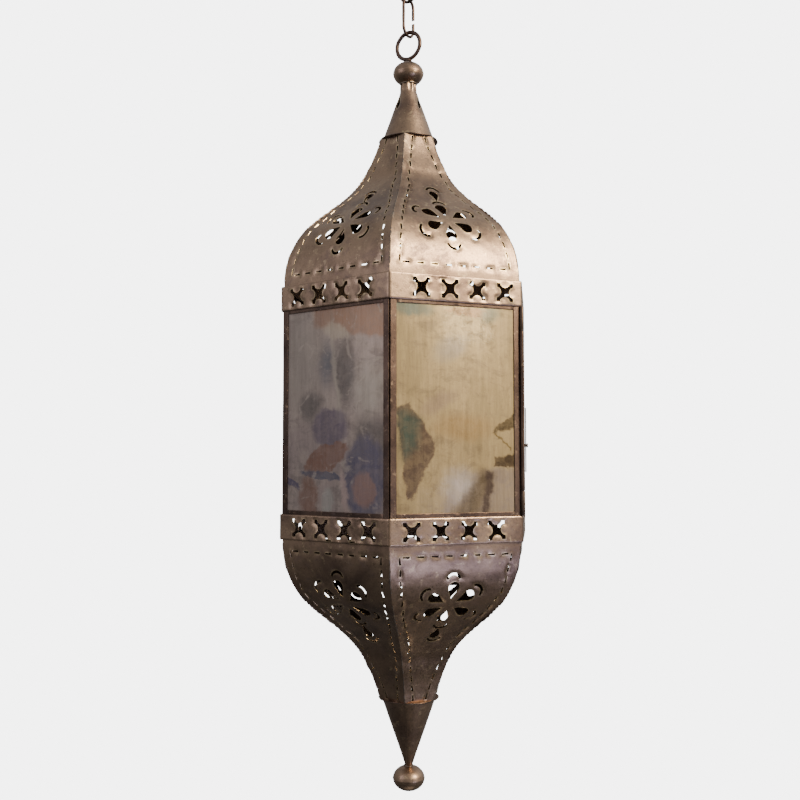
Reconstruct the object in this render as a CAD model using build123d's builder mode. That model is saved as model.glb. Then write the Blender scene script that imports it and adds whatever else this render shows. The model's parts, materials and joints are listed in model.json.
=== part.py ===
from build123d import *
from math import asin, atan2, cos, degrees, pi, radians, sin, sqrt, tan
import os

# Hexagonal hanging lantern of pierced sheet metal, with mirror glass panes and a hinged door.
# Millimetres.  The origin is where the hook's screw enters the ceiling, +Z is up, and the door is the
# face on the +X side.  Levels are worked out downwards from the hook, link by link.

# ---------------------------------------------------------------- driving dimensions
corner_radius = 136.0      # axis to the outer corner of a band
band_height = 24.5         # each pierced band
window_height = 197.6      # between the two bands
dome_height = 161.0        # each dome, from its band to its disc
sheet = 0.8                # wall of all the sheet metal
glass_thickness = 3.0

disc_radius = 31.0         # round flange at the end of each dome
disc_thickness = 1.0
cone_base_radius = 27.0
top_cone_height = 61.0
top_neck_radius = 7.7      # crimped neck under the top ball
bottom_cone_height = 67.4
bottom_tip_radius = 3.5
ball_radius = 16.2         # balls are slightly flattened
ball_half_height = 12.5

eye_wire = 4.2             # ring on the top ball
eye_outer_radius = 16.35
link_wire = 3.2            # open chain links
link_length = 44.0
link_width = 21.5
link_count = 3
link_slit = 2.6            # slanted gap in one leg, never welded
hook_wire = 5.0
hook_bend_radius = 12.0    # centreline of the hook's bowl
screw_radius = 2.25
screw_length = 25.0
chain_turn = 64.0          # direction of the first link's width; its neighbours are square to it

cup_radius = 39.0          # inside of the candle cup
cup_depth = 13.0

# ---------------------------------------------------------------- gaps and laps
solder_gap = 0.02          # between soldered pieces
swing_gap = 0.3            # between pieces that move past each other
glass_play = 0.3           # round the edges of a pane
pin_play = 0.06            # radial, in a moving bead or on the latch rivet
fixed_pin_play = 0.02      # radial, in a bead that doesn't turn

band_proud = 2.2           # the bands stand this far outside the posts
dome_inset = 3.1           # the domes start this far inside the band's face
stile_width = 6.0          # visible flat on each side of a corner
groove_half = 1.0          # half of the groove that splits a corner
rail_lip_top = 3.0         # what the glazing channels show above and below a pane
rail_lip_bottom = 4.0
rail_grip = 3.0            # how deep a pane sits in them behind the band
dome_skirt = 2.5           # how far a gore reaches down inside its band

# ---------------------------------------------------------------- shared geometry
side_half_angle = 30.0
slope = tan(radians(side_half_angle))
band_apothem = corner_radius * cos(radians(side_half_angle))
post_face = band_apothem - band_proud
channel_depth = glass_thickness + 0.2
channel_back = post_face - 2 * sheet - channel_depth
stop_back = channel_back - sheet
groove_edge = post_face * slope - groove_half
stile_edge = groove_edge - stile_width
pane_leg = (channel_back + sheet) * slope - sheet
door_leg = (stop_back + sheet) * slope - sheet
face_angles = [-60.0 + 60.0 * k for k in range(6)]
post_angles = [-30.0 + 60.0 * k for k in range(6)]

s_turn_radius = 5.0
shank_drop = 6.0
hook_bowl_z = -shank_drop - sqrt((s_turn_radius + hook_bend_radius) ** 2 - s_turn_radius ** 2)
hook_wire_z = hook_bowl_z - hook_bend_radius

# levels of the chain: where each link's top and bottom wires lie
link_top_z, link_bottom_wire_z = [], []
carrier_z, carrier_wire = hook_wire_z, hook_wire
for _ in range(link_count):
    link_top_z.append(carrier_z + carrier_wire / 2 + swing_gap + link_wire)
    carrier_z, carrier_wire = link_top_z[-1] - link_length + link_wire / 2, link_wire
    link_bottom_wire_z.append(carrier_z)

eye_ring_radius = eye_outer_radius - eye_wire / 2
eye_centre_z = carrier_z + carrier_wire / 2 + swing_gap + eye_wire - eye_outer_radius
eye_collar = 1.4           # bead of solder between the ring and the ball
ball_z = eye_centre_z - eye_outer_radius - eye_collar - ball_half_height


def ball_height_at(radius):
    """Height of the ball's skin above its middle, at a distance from its axis."""
    return ball_half_height * sqrt(1 - (radius / ball_radius) ** 2)


cone_top_z = ball_z - ball_height_at(top_neck_radius - sheet)
top_disc_z = cone_top_z - top_cone_height
dome_top_z = top_disc_z - disc_thickness
upper_band_top = dome_top_z - dome_height
window_top = upper_band_top - band_height
window_bottom = window_top - window_height
lower_band_bottom = window_bottom - band_height
dome_bottom_z = lower_band_bottom - dome_height
middle_z = (window_top + window_bottom) / 2
bottom_cone_z = dome_bottom_z - disc_thickness
bottom_tip_z = bottom_cone_z - bottom_cone_height
bottom_ball_z = bottom_tip_z - ball_height_at(bottom_tip_radius - sheet)

os.makedirs("parts", exist_ok=True)


def save(part, name):
    """Label a finished piece and write it."""
    part.label = name
    export_step(part, f"parts/{name}.step")


def upright_plane(angle):
    """Vertical plane through the axis: its x points along the angle, its y points up."""
    across = (cos(radians(angle)), sin(radians(angle)), 0)
    return Plane(origin=(0, 0, 0), x_dir=across, z_dir=(across[1], -across[0], 0))


def face_plane(angle, distance, z=0):
    """Plane of one side of the lantern: x runs along the side, y points up, z points outwards."""
    out = (cos(radians(angle)), sin(radians(angle)), 0)
    return Plane(origin=(distance * out[0], distance * out[1], z), x_dir=(-out[1], out[0], 0), z_dir=out)


def side_point(angle, distance, along):
    """Plan position of a point on one side: its distance from the axis and its place along the side."""
    c, s = cos(radians(angle)), sin(radians(angle))
    return (distance * c - along * s, distance * s + along * c)


def outline(points):
    """Fill a straight-sided outline in the sketch that is being drawn."""
    Polygon(*points, align=Align.NONE)


def hexagon(apothem, mode=Mode.ADD):
    """Hexagon with a flat side towards +X."""
    RegularPolygon(radius=apothem, side_count=6, major_radius=False, rotation=30, mode=mode)


# ---------------------------------------------------------------- ceiling hook
hook_tip_angle = 152.0     # how far round the bowl the hook's tip reaches
tip_point = 0.3            # blunt end of the screw's point
hook_direction = chain_turn - 90.0

with BuildPart() as ceiling_hook:
    with BuildLine(upright_plane(hook_direction)) as hook_path:
        Line((0, 0), (0, -shank_drop))
        turn = degrees(asin(hook_bend_radius / (s_turn_radius + hook_bend_radius)))
        touch = Vector(s_turn_radius, -shank_drop) * (hook_bend_radius / (s_turn_radius + hook_bend_radius))
        touch = touch + Vector(0, hook_bowl_z) * (s_turn_radius / (s_turn_radius + hook_bend_radius))
        TangentArc((0, -shank_drop), (touch.X, touch.Y), tangent=(0, -1))
        hook_side = Vector(-cos(radians(180 - hook_tip_angle)), sin(radians(180 - hook_tip_angle)))
        hook_tip = Vector(0, hook_bowl_z) + hook_side * hook_bend_radius
        ThreePointArc((touch.X, touch.Y), (0, hook_wire_z), (hook_tip.X, hook_tip.Y))
    with BuildSketch(Plane.XY):
        Circle(hook_wire / 2)
    sweep()
    with BuildSketch(Plane.XY):
        Circle(screw_radius)
    extrude(amount=screw_length)
    with Locations((0, 0, screw_length + screw_radius)):
        Cone(bottom_radius=screw_radius, top_radius=tip_point, height=2 * screw_radius)
save(ceiling_hook.part, "ceiling_hook")

# ---------------------------------------------------------------- chain links, numbered from the lantern
slit_drop = 2.0            # from a link's middle down to its slit
slit_lean = 28.0           # degrees off square
for index, top_z in enumerate(link_top_z):
    number = link_count - index
    direction = chain_turn if number % 2 else chain_turn - 90
    leg = (link_width - link_wire) / 2
    bend_top = top_z - link_wire / 2 - leg
    bend_bottom = top_z - link_length + link_wire / 2 + leg
    slit_z = top_z - link_length / 2 - slit_drop
    with BuildPart() as chain_link:
        with BuildLine(upright_plane(direction)) as link_path:
            Line((leg, slit_z - link_slit / 4), (leg, bend_bottom))
            ThreePointArc((leg, bend_bottom), (0, bend_bottom - leg), (-leg, bend_bottom))
            Line((-leg, bend_bottom), (-leg, bend_top))
            ThreePointArc((-leg, bend_top), (0, bend_top + leg), (leg, bend_top))
            Line((leg, bend_top), (leg, slit_z + link_slit / 4))
        with BuildSketch(Plane(origin=link_path.line @ 0, z_dir=link_path.line % 0)):
            Circle(link_wire / 2)
        sweep()
        with BuildSketch(upright_plane(direction)):
            with Locations(Location((leg, slit_z, 0), (0, 0, slit_lean))):
                Rectangle(2.5 * link_wire, link_slit)
        extrude(amount=link_wire, both=True, mode=Mode.SUBTRACT)
    save(chain_link.part, f"chain_link_{number}")

# ---------------------------------------------------------------- ring and balls
with BuildPart() as hanging_eye:
    eye_side = upright_plane(chain_turn - 90)
    with BuildSketch(Plane(origin=(0, 0, eye_centre_z), x_dir=(0, 0, 1), z_dir=eye_side.x_dir)):
        with Locations((eye_ring_radius, 0)):
            Circle(eye_wire / 2)
    revolve(axis=Axis((0, 0, eye_centre_z), eye_side.z_dir))
    collar_foot = 6.0
    collar_neck = 3.2
    collar_top = ball_z + ball_half_height + eye_collar
    with BuildSketch(Plane.XZ):
        with BuildLine():
            seat = [(r, ball_z + ball_height_at(r) + 2 * solder_gap) for r in (0, collar_foot / 2, collar_foot)]
            ThreePointArc(*seat)
            Polyline(seat[-1], (collar_neck, collar_top), (collar_neck, collar_top + eye_wire / 2),
                     (0, collar_top + eye_wire / 2), seat[0])
        make_face()
    revolve(axis=Axis.Z)
save(hanging_eye.part, "hanging_eye")


def ball(place, centre_z):
    """Hollow ball in two pressed halves, soldered round the middle."""
    with BuildPart() as lower_half:
        middle = centre_z - solder_gap / 2
        with BuildSketch(Plane.XZ):
            with BuildLine():
                skin_arc = EllipticalCenterArc((0, middle), ball_radius, ball_half_height,
                                               start_angle=270, arc_size=90)
                wall_arc = EllipticalCenterArc((0, middle), ball_radius - sheet, ball_half_height - sheet,
                                               start_angle=270, arc_size=90)
                Line(skin_arc @ 0, wall_arc @ 0)
                Line(skin_arc @ 1, wall_arc @ 1)
            make_face()
        revolve(axis=Axis.Z)
    save(lower_half.part, f"{place}_ball_lower")
    with BuildPart() as upper_half:
        mirror(lower_half.part, about=Plane.XY.offset(centre_z))
    save(upper_half.part, f"{place}_ball_upper")


ball("top", ball_z)
ball("bottom", bottom_ball_z)

# ---------------------------------------------------------------- cones and discs
vent_height = 16.0
vent_width = 6.5
vent_drop = 21.5           # from the cone's top to the middle of its vents
vent_start = -22.0         # direction of the first of the three vents
neck_length = 9.0
neck_flare = 0.9           # how much wider the neck's foot is than its top
disc_lap = 7.0             # how far a disc reaches inside its cone

with BuildPart() as top_cone:
    neck_foot = top_neck_radius + neck_flare
    with BuildSketch(Plane.XZ):
        with BuildLine():
            Polyline((top_neck_radius - sheet, cone_top_z), (top_neck_radius, cone_top_z),
                     (neck_foot, cone_top_z - neck_length), (cone_base_radius, top_disc_z),
                     (cone_base_radius - sheet, top_disc_z), (neck_foot - sheet, cone_top_z - neck_length),
                     close=True)
        make_face()
    revolve(axis=Axis.Z)
    lens_radius = (vent_height ** 2 / 4 + vent_width ** 2 / 4) / vent_width
    for k in range(3):
        with BuildSketch(face_plane(vent_start + 120 * k, 0, cone_top_z - vent_drop)):
            with Locations((lens_radius - vent_width / 2, 0)):
                Circle(lens_radius)
            with Locations((vent_width / 2 - lens_radius, 0)):
                Circle(lens_radius, mode=Mode.INTERSECT)
        extrude(amount=cone_base_radius, mode=Mode.SUBTRACT)
save(top_cone.part, "top_cone")

with BuildPart() as bottom_cone:
    with BuildSketch(Plane.XZ):
        outline([(cone_base_radius, bottom_cone_z - solder_gap), (bottom_tip_radius, bottom_tip_z),
                 (bottom_tip_radius - sheet, bottom_tip_z),
                 (cone_base_radius - sheet, bottom_cone_z - solder_gap)])
    revolve(axis=Axis.Z)
save(bottom_cone.part, "bottom_cone")

for name, low_z in (("top_disc", dome_top_z), ("bottom_disc", bottom_cone_z)):
    with BuildPart() as disc:
        with BuildSketch(Plane.XY.offset(low_z + solder_gap / 2)):
            Circle(disc_radius)
            Circle(cone_base_radius - disc_lap, mode=Mode.SUBTRACT)
        extrude(amount=disc_thickness - solder_gap)
    save(disc.part, name)

# ---------------------------------------------------------------- gores
gore_foot = band_apothem - dome_inset
gore_top = disc_radius * cos(radians(side_half_angle))
# shape of the ogee: share of the way in from foot to top, against share of the height
ogee = [(0.947, 0.199), (0.812, 0.348), (0.499, 0.522), (0.253, 0.671), (0.091, 0.845)]
seam_gap = 0.05

dash_length, dash_width = 6.6, 1.8
dash_pitch = 11.0          # up the sides
foot_dash_count = 8
foot_dash_end = 6.585      # from the corner of the rows to the middle of the last dash along the foot
dash_inset = 9.75          # from a gore's edges to its dashes
foot_dash_height = 10.5
flower_share = 0.3231      # share of the sheet's length, from the seam to the flower's middle
petal_start, petal_end = 7.0, 26.0
petal_radius = 5.6         # round end of a petal
crescent_reach = 28.0      # from the flower's middle to a crescent's centre
crescent_radius = 6.6
crescent_width = 2.0
bud_share = 0.5721         # share of the sheet's length, to the middle of the single petal's round end
bud_length = 18.0
bud_radius = 5.0
bud_tip = -13.0            # its point, from the middle of its round end's plane
bud_crescent = 3.0         # its crescent's centre, from the same plane
punch_reach = 5.0


def teardrop(tip_distance, length, round_radius, heading):
    """Petal with its point at a distance from the sketch's origin, its round end further out."""
    spread = asin(round_radius / (length - round_radius))
    middle = tip_distance + length - round_radius
    shoulder = middle - round_radius * sin(spread)
    side = round_radius * cos(spread)
    c, s = cos(radians(heading)), sin(radians(heading))
    outline([(x * c - y * s, x * s + y * c) for x, y in
             ((tip_distance, 0), (shoulder, side), (shoulder, -side))])
    with Locations((middle * c, middle * s)):
        Circle(round_radius)


def crescent(centre_distance, heading):
    """Curved slit that hugs the round end of a petal."""
    turned = Location((0, 0, 0), (0, 0, heading))
    ends = radians(72)
    points = [(turned * Location((centre_distance + crescent_radius * cos(a),
                                  crescent_radius * sin(a), 0))).position for a in (-ends, 0, ends)]
    SlotArc(ThreePointArc(*points, mode=Mode.PRIVATE), crescent_width)


# the outer skin's curve in the lantern's middle plane: x is the distance from the axis, y the level
ogee_points = [(gore_top + (gore_foot - gore_top) * share, upper_band_top + dome_height * rise)
               for share, rise in ogee]
gore_curve = Spline((gore_foot, upper_band_top), *ogee_points, (gore_top, dome_top_z),
                    tangents=((0, 1), (-0.26, 1)), mode=Mode.PRIVATE)
flower_height = flower_share * gore_curve.length
bud_height = bud_share * gore_curve.length
foot_dash_pitch = 2 * (gore_foot * slope - dash_inset - foot_dash_end) / (foot_dash_count - 1)


def skin(arc):
    """Distance from the axis, level and direction of the skin, a given way up the sheet."""
    place = gore_curve.position_at(arc, position_mode=PositionMode.LENGTH)
    heading = gore_curve.tangent_at(arc, position_mode=PositionMode.LENGTH)
    return place, heading


def punch_plane(arc):
    """Plane lying on the skin: x runs across the gore, y up the sheet."""
    place, heading = skin(arc)
    return Plane(origin=(place.X, 0, place.Y), x_dir=(0, 1, 0), z_dir=(heading.Y, 0, -heading.X))


def side_dashes():
    """Places up the sheet of the dashes that follow a gore's edges, with their distance from its middle."""
    arc = foot_dash_height + dash_length / 2
    while arc < gore_curve.length - dash_length:
        place, heading = skin(arc)
        lean = atan2(-heading.X * slope, 1)
        yield arc, place.X * slope - dash_inset / cos(lean), degrees(lean)
        arc += dash_pitch * cos(lean)


with BuildPart() as gore:
    with BuildSketch(Plane.XZ):
        with BuildLine():
            add(gore_curve)
            inner_points = []
            for share in [k / 8 for k in range(9)]:
                inwards = (gore_curve % share) * sheet
                inner_points.append((gore_curve @ share) + Vector(-inwards.Y, inwards.X))
            Spline(*inner_points, tangents=(gore_curve % 0, gore_curve % 1))
            Polyline((gore_foot, upper_band_top), (gore_foot, upper_band_top - dome_skirt),
                     (gore_foot - sheet, upper_band_top - dome_skirt), (gore_foot - sheet, upper_band_top))
            Line(gore_curve @ 1, inner_points[-1])
        make_face()
    extrude(amount=corner_radius, both=True)
    for sign in (-1, 1):
        edge_normal = Vector(-slope, sign, 0).normalized()
        split(bisect_by=Plane(origin=edge_normal * (-seam_gap / 2), z_dir=edge_normal), keep=Keep.BOTTOM)
    split(bisect_by=Plane.XY.offset(dome_top_z - solder_gap), keep=Keep.BOTTOM)

    # dashes along the foot and up both sides
    with BuildSketch(punch_plane(foot_dash_height)):
        with GridLocations(foot_dash_pitch, 0, foot_dash_count, 1):
            Rectangle(dash_length, dash_width)
    extrude(amount=punch_reach, both=True, mode=Mode.SUBTRACT)
    for arc, across, lean in side_dashes():
        with BuildSketch(punch_plane(arc)):
            for side in (-1, 1):
                with Locations(Location((side * across, 0, 0), (0, 0, 90 + side * lean))):
                    Rectangle(dash_length, dash_width)
        extrude(amount=punch_reach / 2, both=True, mode=Mode.SUBTRACT)

    # flower: six petals round a middle, each with its crescent
    petal_length = petal_end - petal_start
    for k in range(6):
        heading = 30.0 + 60.0 * k
        for middle, is_petal in (((petal_start + petal_end) / 2, True), (crescent_reach, False)):
            rise = middle * sin(radians(heading))
            shift = middle * cos(radians(heading))
            with BuildSketch(punch_plane(flower_height + rise)):
                with Locations((shift, 0)):
                    if is_petal:
                        teardrop(petal_start - middle, petal_length, petal_radius, heading)
                    else:
                        crescent(0, heading)
            extrude(amount=punch_reach, both=True, mode=Mode.SUBTRACT)

    # single petal above the flower, with its crescent
    with BuildSketch(punch_plane(bud_height)):
        teardrop(bud_tip, bud_length, bud_radius, 90)
    extrude(amount=punch_reach, both=True, mode=Mode.SUBTRACT)
    with BuildSketch(punch_plane(bud_height + bud_crescent + bud_radius)):
        crescent(-bud_radius, 90)
    extrude(amount=punch_reach, both=True, mode=Mode.SUBTRACT)

for k, angle in enumerate(face_angles):
    with BuildPart() as upper_gore:
        add(gore.part, rotation=(0, 0, angle))
    save(upper_gore.part, f"upper_gore_{k + 1}")
    with BuildPart() as lower_gore:
        mirror(upper_gore.part, about=Plane.XY.offset(middle_z))
    save(lower_gore.part, f"lower_gore_{k + 1}")

# ---------------------------------------------------------------- bands
cut_width, cut_height = 17.0, 17.5     # the X-shaped cuts
cut_count = 4
cut_margin = 25.25         # from a corner to the middle of the nearest X
tab_radius = 5.2           # the metal left on each side of an X
tab_reach = 4.3            # how far it comes in
band_lip = 0.8
# the rows were punched by hand, each a little off the middle of its side
upper_cut_shift = [6.8, 1.5, -2.0, 2.5, -1.0, -3.7]
lower_cut_shift = [-3.0, 2.0, 1.0, -2.5, 1.5, 0.5]
# a hexagon's side is as long as its corner radius
cut_pitch = (corner_radius - 2 * cut_margin) / (cut_count - 1)


def band(name, low_z, dome_side, cut_shift):
    """Hexagonal band with a lip turned in to the dome and another to the posts."""
    with BuildPart() as ring:
        with BuildSketch(Plane.XY.offset(low_z)):
            hexagon(band_apothem)
            hexagon(band_apothem - sheet, mode=Mode.SUBTRACT)
        extrude(amount=band_height)
        lip_top, lip_bottom = low_z + band_height - band_lip, low_z
        dome_lip, post_lip = (lip_top, lip_bottom) if dome_side > 0 else (lip_bottom, lip_top)
        for lip_z, inner in ((dome_lip, gore_foot), (post_lip, post_face)):
            with BuildSketch(Plane.XY.offset(lip_z)):
                hexagon(band_apothem - sheet / 2)
                hexagon(inner + solder_gap, mode=Mode.SUBTRACT)
            extrude(amount=band_lip)
        for angle, shift in zip(face_angles, cut_shift):
            with BuildSketch(face_plane(angle, band_apothem, low_z + band_height / 2)):
                with Locations((shift, 0)):
                    with GridLocations(cut_pitch, 0, cut_count, 1):
                        Rectangle(cut_width, cut_height)
                        for tab in range(4):
                            half = cut_width / 2 if tab % 2 == 0 else cut_height / 2
                            centre = half - tab_reach + tab_radius
                            with Locations((centre * cos(tab * pi / 2), centre * sin(tab * pi / 2))):
                                Circle(tab_radius, mode=Mode.SUBTRACT)
            extrude(amount=1.5 * sheet, both=True, mode=Mode.SUBTRACT)
    save(ring.part, name)


band("upper_band", window_top, 1, upper_cut_shift)
band("lower_band", lower_band_bottom, -1, lower_cut_shift)

# ---------------------------------------------------------------- corner posts
skirt_gap = 0.4            # between a post's end and the domes' skirts
post_top = upper_band_top - dome_skirt - skirt_gap
post_foot = lower_band_bottom + dome_skirt + skirt_gap
door_angle = 0.0
latch_plate = 8.0          # the door's corner has a wider flat, for the turn button
stop_width = 5.0           # door stop behind the door's edge
door_rebate = 1.2          # the hinge corner is cut back behind the door's leaf


def post_half(angle, side):
    """Section of half a corner post, on the side that faces along the angle; side is its end of it."""
    at_door = abs(angle - door_angle) < 1
    hinge_half, latch_half = at_door and side < 0, at_door and side > 0
    back = stop_back if at_door else channel_back
    leg = door_leg if at_door else pane_leg
    lip_edge = stile_edge - stop_width if at_door else stile_edge
    plate_edge = groove_edge - latch_plate if latch_half else stile_edge
    front = post_face - door_rebate if hinge_half else post_face
    leg_front = groove_edge - sheet if at_door else leg
    points = [(front, groove_edge), (groove_edge / slope, groove_edge), (back, back * slope),
              (back, lip_edge), (back + sheet, lip_edge), (back + sheet, leg)]
    if hinge_half:
        points.append((front, leg_front))
    else:
        points += [(post_face - sheet, leg_front), (post_face - sheet, plate_edge), (post_face, plate_edge)]
    outline([side_point(angle, distance, side * along) for distance, along in points])


rivet_radius = 1.5
latch_inset = 4.0          # from the corner's groove to the turn button's pivot
latch_along = groove_edge - latch_inset
latch_share = 0.3436       # height of the pivot, as a share of the window's
latch_z = window_bottom + latch_share * window_height
latch_standoff = 2.0

for k, angle in enumerate(post_angles):
    with BuildPart() as corner_post:
        with BuildSketch(Plane.XY.offset(post_foot)):
            post_half(angle - side_half_angle, 1)
            post_half(angle + side_half_angle, -1)
        extrude(amount=post_top - post_foot)
        if abs(angle - side_half_angle) < 1:
            with BuildSketch(face_plane(door_angle, post_face, latch_z)):
                with Locations((latch_along, 0)):
                    Circle(rivet_radius + solder_gap)
            extrude(amount=2 * sheet, both=True, mode=Mode.SUBTRACT)
    save(corner_post.part, f"corner_post_{k + 1}")

# ---------------------------------------------------------------- glazing channels, header and sill
rail_half = stile_edge - solder_gap
stop_drop = 8.0            # how far the door's header and sill show past the bands


def channel_section(front, depth, edge_z, web_z):
    """U section of a channel, as points of distance and level; it opens from its web towards its edge."""
    step = sheet if web_z > edge_z else -sheet
    return [(front, edge_z), (front, web_z), (front - depth, web_z), (front - depth, edge_z),
            (front - depth + sheet, edge_z), (front - depth + sheet, web_z - step),
            (front - sheet, web_z - step), (front - sheet, edge_z)]


def rails(name, band_edge, up, lip):
    """Five glazing channels and the door's header or sill; up is 1 above the window and -1 below it."""
    depth = post_face - channel_back
    section = channel_section(post_face, depth, band_edge - up * lip, band_edge + up * (rail_grip + sheet))
    stop_half = stile_edge - stop_width - solder_gap
    reach = post_face - solder_gap
    stop_section = [(stop_back, band_edge - up * stop_drop), (stop_back + sheet, band_edge - up * stop_drop),
                    (stop_back + sheet, band_edge), (reach, band_edge), (reach, band_edge + up * sheet),
                    (stop_back, band_edge + up * sheet)]
    with BuildPart() as group:
        for angle in face_angles:
            at_door = abs(angle - door_angle) < 1
            with BuildSketch(upright_plane(angle)):
                outline(stop_section if at_door else section)
            extrude(amount=stop_half if at_door else rail_half, both=True)
    save(group.part, name)


rails("upper_rails", window_top, 1, rail_lip_top)
rails("lower_rails", window_bottom, -1, rail_lip_bottom)

# ---------------------------------------------------------------- fixed panes
pane_half = pane_leg - glass_play
pane_low = window_bottom - rail_grip + glass_play
pane_high = window_top + rail_grip - glass_play
pane_face = post_face - sheet - (channel_depth - glass_thickness) / 2
fixed_sides = [angle for angle in face_angles if abs(angle - door_angle) > 1]

for k, angle in enumerate(fixed_sides):
    with BuildPart() as pane:
        with BuildSketch(face_plane(angle, pane_face, (pane_low + pane_high) / 2)):
            Rectangle(2 * pane_half, pane_high - pane_low)
        extrude(amount=-glass_thickness)
    save(pane.part, f"glass_pane_{k + 1}")

# ---------------------------------------------------------------- hinge
bead_radius = 2.0
pin_radius = 1.0
bead_inset = 0.7           # from the bands' corner in to the hinge pin's axis
bead_out = corner_radius - bead_inset
knuckle_length = 23.0
bead_x, bead_y = side_point(-side_half_angle, bead_out, 0)

with BuildPart() as hinge_pin:
    with Locations((bead_x, bead_y, middle_z)):
        Cylinder(pin_radius, window_height - 2 * swing_gap)
save(hinge_pin.part, "hinge_pin")

groove_bottom = groove_edge / slope / cos(radians(side_half_angle))
web_half = 0.6
with BuildPart() as hinge_knuckles:
    for low_z in (window_bottom + swing_gap, window_top - swing_gap - knuckle_length):
        with BuildSketch(Plane.XY.offset(low_z)):
            wedge = [(groove_bottom + 2 * solder_gap, 0), (groove_bottom + web_half / slope, web_half),
                     (bead_out, web_half), (bead_out, -web_half), (groove_bottom + web_half / slope, -web_half)]
            outline([side_point(-side_half_angle, distance, along) for distance, along in wedge])
            with Locations((bead_x, bead_y)):
                Circle(bead_radius)
                Circle(pin_radius + fixed_pin_play, mode=Mode.SUBTRACT)
        extrude(amount=knuckle_length)
save(hinge_knuckles.part, "hinge_knuckles")

# ---------------------------------------------------------------- door
door_front = bead_x - bead_radius + sheet
door_gap = 0.5
door_hinge_edge = -(door_leg - door_gap)
door_latch_edge = groove_edge - latch_plate - door_gap
door_clearance = 0.4       # above and below the door
door_low, door_high = window_bottom + door_clearance, window_top - door_clearance
door_stile_width = 6.0
door_rail_height = 4.0
door_depth = 2 * sheet + channel_depth
bead_low = window_bottom + 2 * swing_gap + knuckle_length
bead_high = window_top - 2 * swing_gap - knuckle_length


def door_stile(edge, inwards):
    """Section of a door stile in plan: a channel whose web is at the door's edge."""
    inner = edge + inwards * door_stile_width
    return [(x, y) for x, y in (
        (door_front, edge), (door_front, inner), (door_front - sheet, inner),
        (door_front - sheet, edge + inwards * sheet), (door_front - door_depth + sheet, edge + inwards * sheet),
        (door_front - door_depth + sheet, inner), (door_front - door_depth, inner),
        (door_front - door_depth, edge))]


with BuildPart() as door_hinge_stile:
    with BuildSketch(Plane.XY.offset(door_low)):
        outline(door_stile(door_hinge_edge, 1))
    extrude(amount=door_high - door_low)
    with BuildSketch(Plane.XY.offset(bead_low)):
        outline([(door_front, bead_y), (door_front, door_hinge_edge + sheet),
                 (door_front - sheet, door_hinge_edge + sheet), (door_front - sheet, bead_y)])
        with Locations((bead_x, bead_y)):
            Circle(bead_radius)
            Circle(pin_radius + pin_play, mode=Mode.SUBTRACT)
    extrude(amount=bead_high - bead_low)
save(door_hinge_stile.part, "door_hinge_stile")

with BuildPart() as door_latch_stile:
    with BuildSketch(Plane.XY.offset(door_low)):
        outline(door_stile(door_latch_edge, -1))
    extrude(amount=door_high - door_low)
save(door_latch_stile.part, "door_latch_stile")

door_rail_start = door_hinge_edge + door_stile_width + solder_gap
door_rail_end = door_latch_edge - door_stile_width - solder_gap
for name, web_z, edge_z in (("door_top_rail", door_high, door_high - door_rail_height),
                            ("door_bottom_rail", door_low, door_low + door_rail_height)):
    with BuildPart() as door_rail:
        with BuildSketch(Plane.XZ.offset(-door_rail_start)):
            outline(channel_section(door_front, door_depth, edge_z, web_z))
        extrude(amount=-(door_rail_end - door_rail_start))
    save(door_rail.part, name)

with BuildPart() as door_glass:
    glass_face = door_front - sheet - (channel_depth - glass_thickness) / 2
    glass_start = door_hinge_edge + sheet + glass_play
    glass_end = door_latch_edge - sheet - glass_play
    with BuildSketch(face_plane(door_angle, glass_face, middle_z)):
        with Locations(((glass_start + glass_end) / 2, 0)):
            Rectangle(glass_end - glass_start, door_high - door_low - 2 * (sheet + glass_play))
    extrude(amount=-glass_thickness)
save(door_glass.part, "door_glass")

# ---------------------------------------------------------------- turn button
latch_above, latch_below = 40.4, 28.6  # arms of the button, from its rivet
latch_width = 7.0
latch_thickness = 1.2
rivet_head = 2.3
rivet_head_height = 1.6
rivet_head_round = 1.1
rivet_tail = 0.9           # the end that is hammered over behind the post
rivet_tail_radius = 2.1
latch_back = post_face + latch_standoff + swing_gap
latch_middle = (latch_above - latch_below) / 2

with BuildPart() as latch_bar:
    with BuildSketch(face_plane(door_angle, latch_back, latch_z)):
        with Locations(Location((latch_along, latch_middle, 0), (0, 0, 90))):
            SlotOverall(latch_above + latch_below, latch_width)
        with Locations((latch_along, 0)):
            Circle(rivet_radius + pin_play, mode=Mode.SUBTRACT)
    extrude(amount=latch_thickness)
save(latch_bar.part, "latch_bar")

with BuildPart() as latch_spacer:
    with BuildSketch(face_plane(door_angle, post_face + solder_gap, latch_z)):
        with Locations((latch_along, 0)):
            Circle(2 * rivet_radius)
            Circle(rivet_radius + solder_gap, mode=Mode.SUBTRACT)
    extrude(amount=latch_standoff - solder_gap)
save(latch_spacer.part, "latch_spacer")

head_seat = latch_back + latch_thickness + swing_gap
with BuildPart() as latch_rivet:
    rivet_back = post_face - sheet - solder_gap - rivet_tail
    with BuildSketch(face_plane(door_angle, rivet_back, latch_z)):
        with Locations((latch_along, 0)):
            Circle(rivet_tail_radius)
    extrude(amount=rivet_tail)
    with BuildSketch(face_plane(door_angle, rivet_back, latch_z)):
        with Locations((latch_along, 0)):
            Circle(rivet_radius)
    extrude(amount=head_seat - rivet_back)
    with BuildSketch(face_plane(door_angle, head_seat, latch_z)):
        with Locations((latch_along, 0)):
            Circle(rivet_head)
    extrude(amount=rivet_head_height)
    fillet(latch_rivet.faces().sort_by(Axis.X)[-1].edges(), radius=rivet_head_round)
save(latch_rivet.part, "latch_rivet")

# ---------------------------------------------------------------- floor and candle cup
floor_thickness = 1.0
floor_low = window_bottom - rail_grip - sheet

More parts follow.
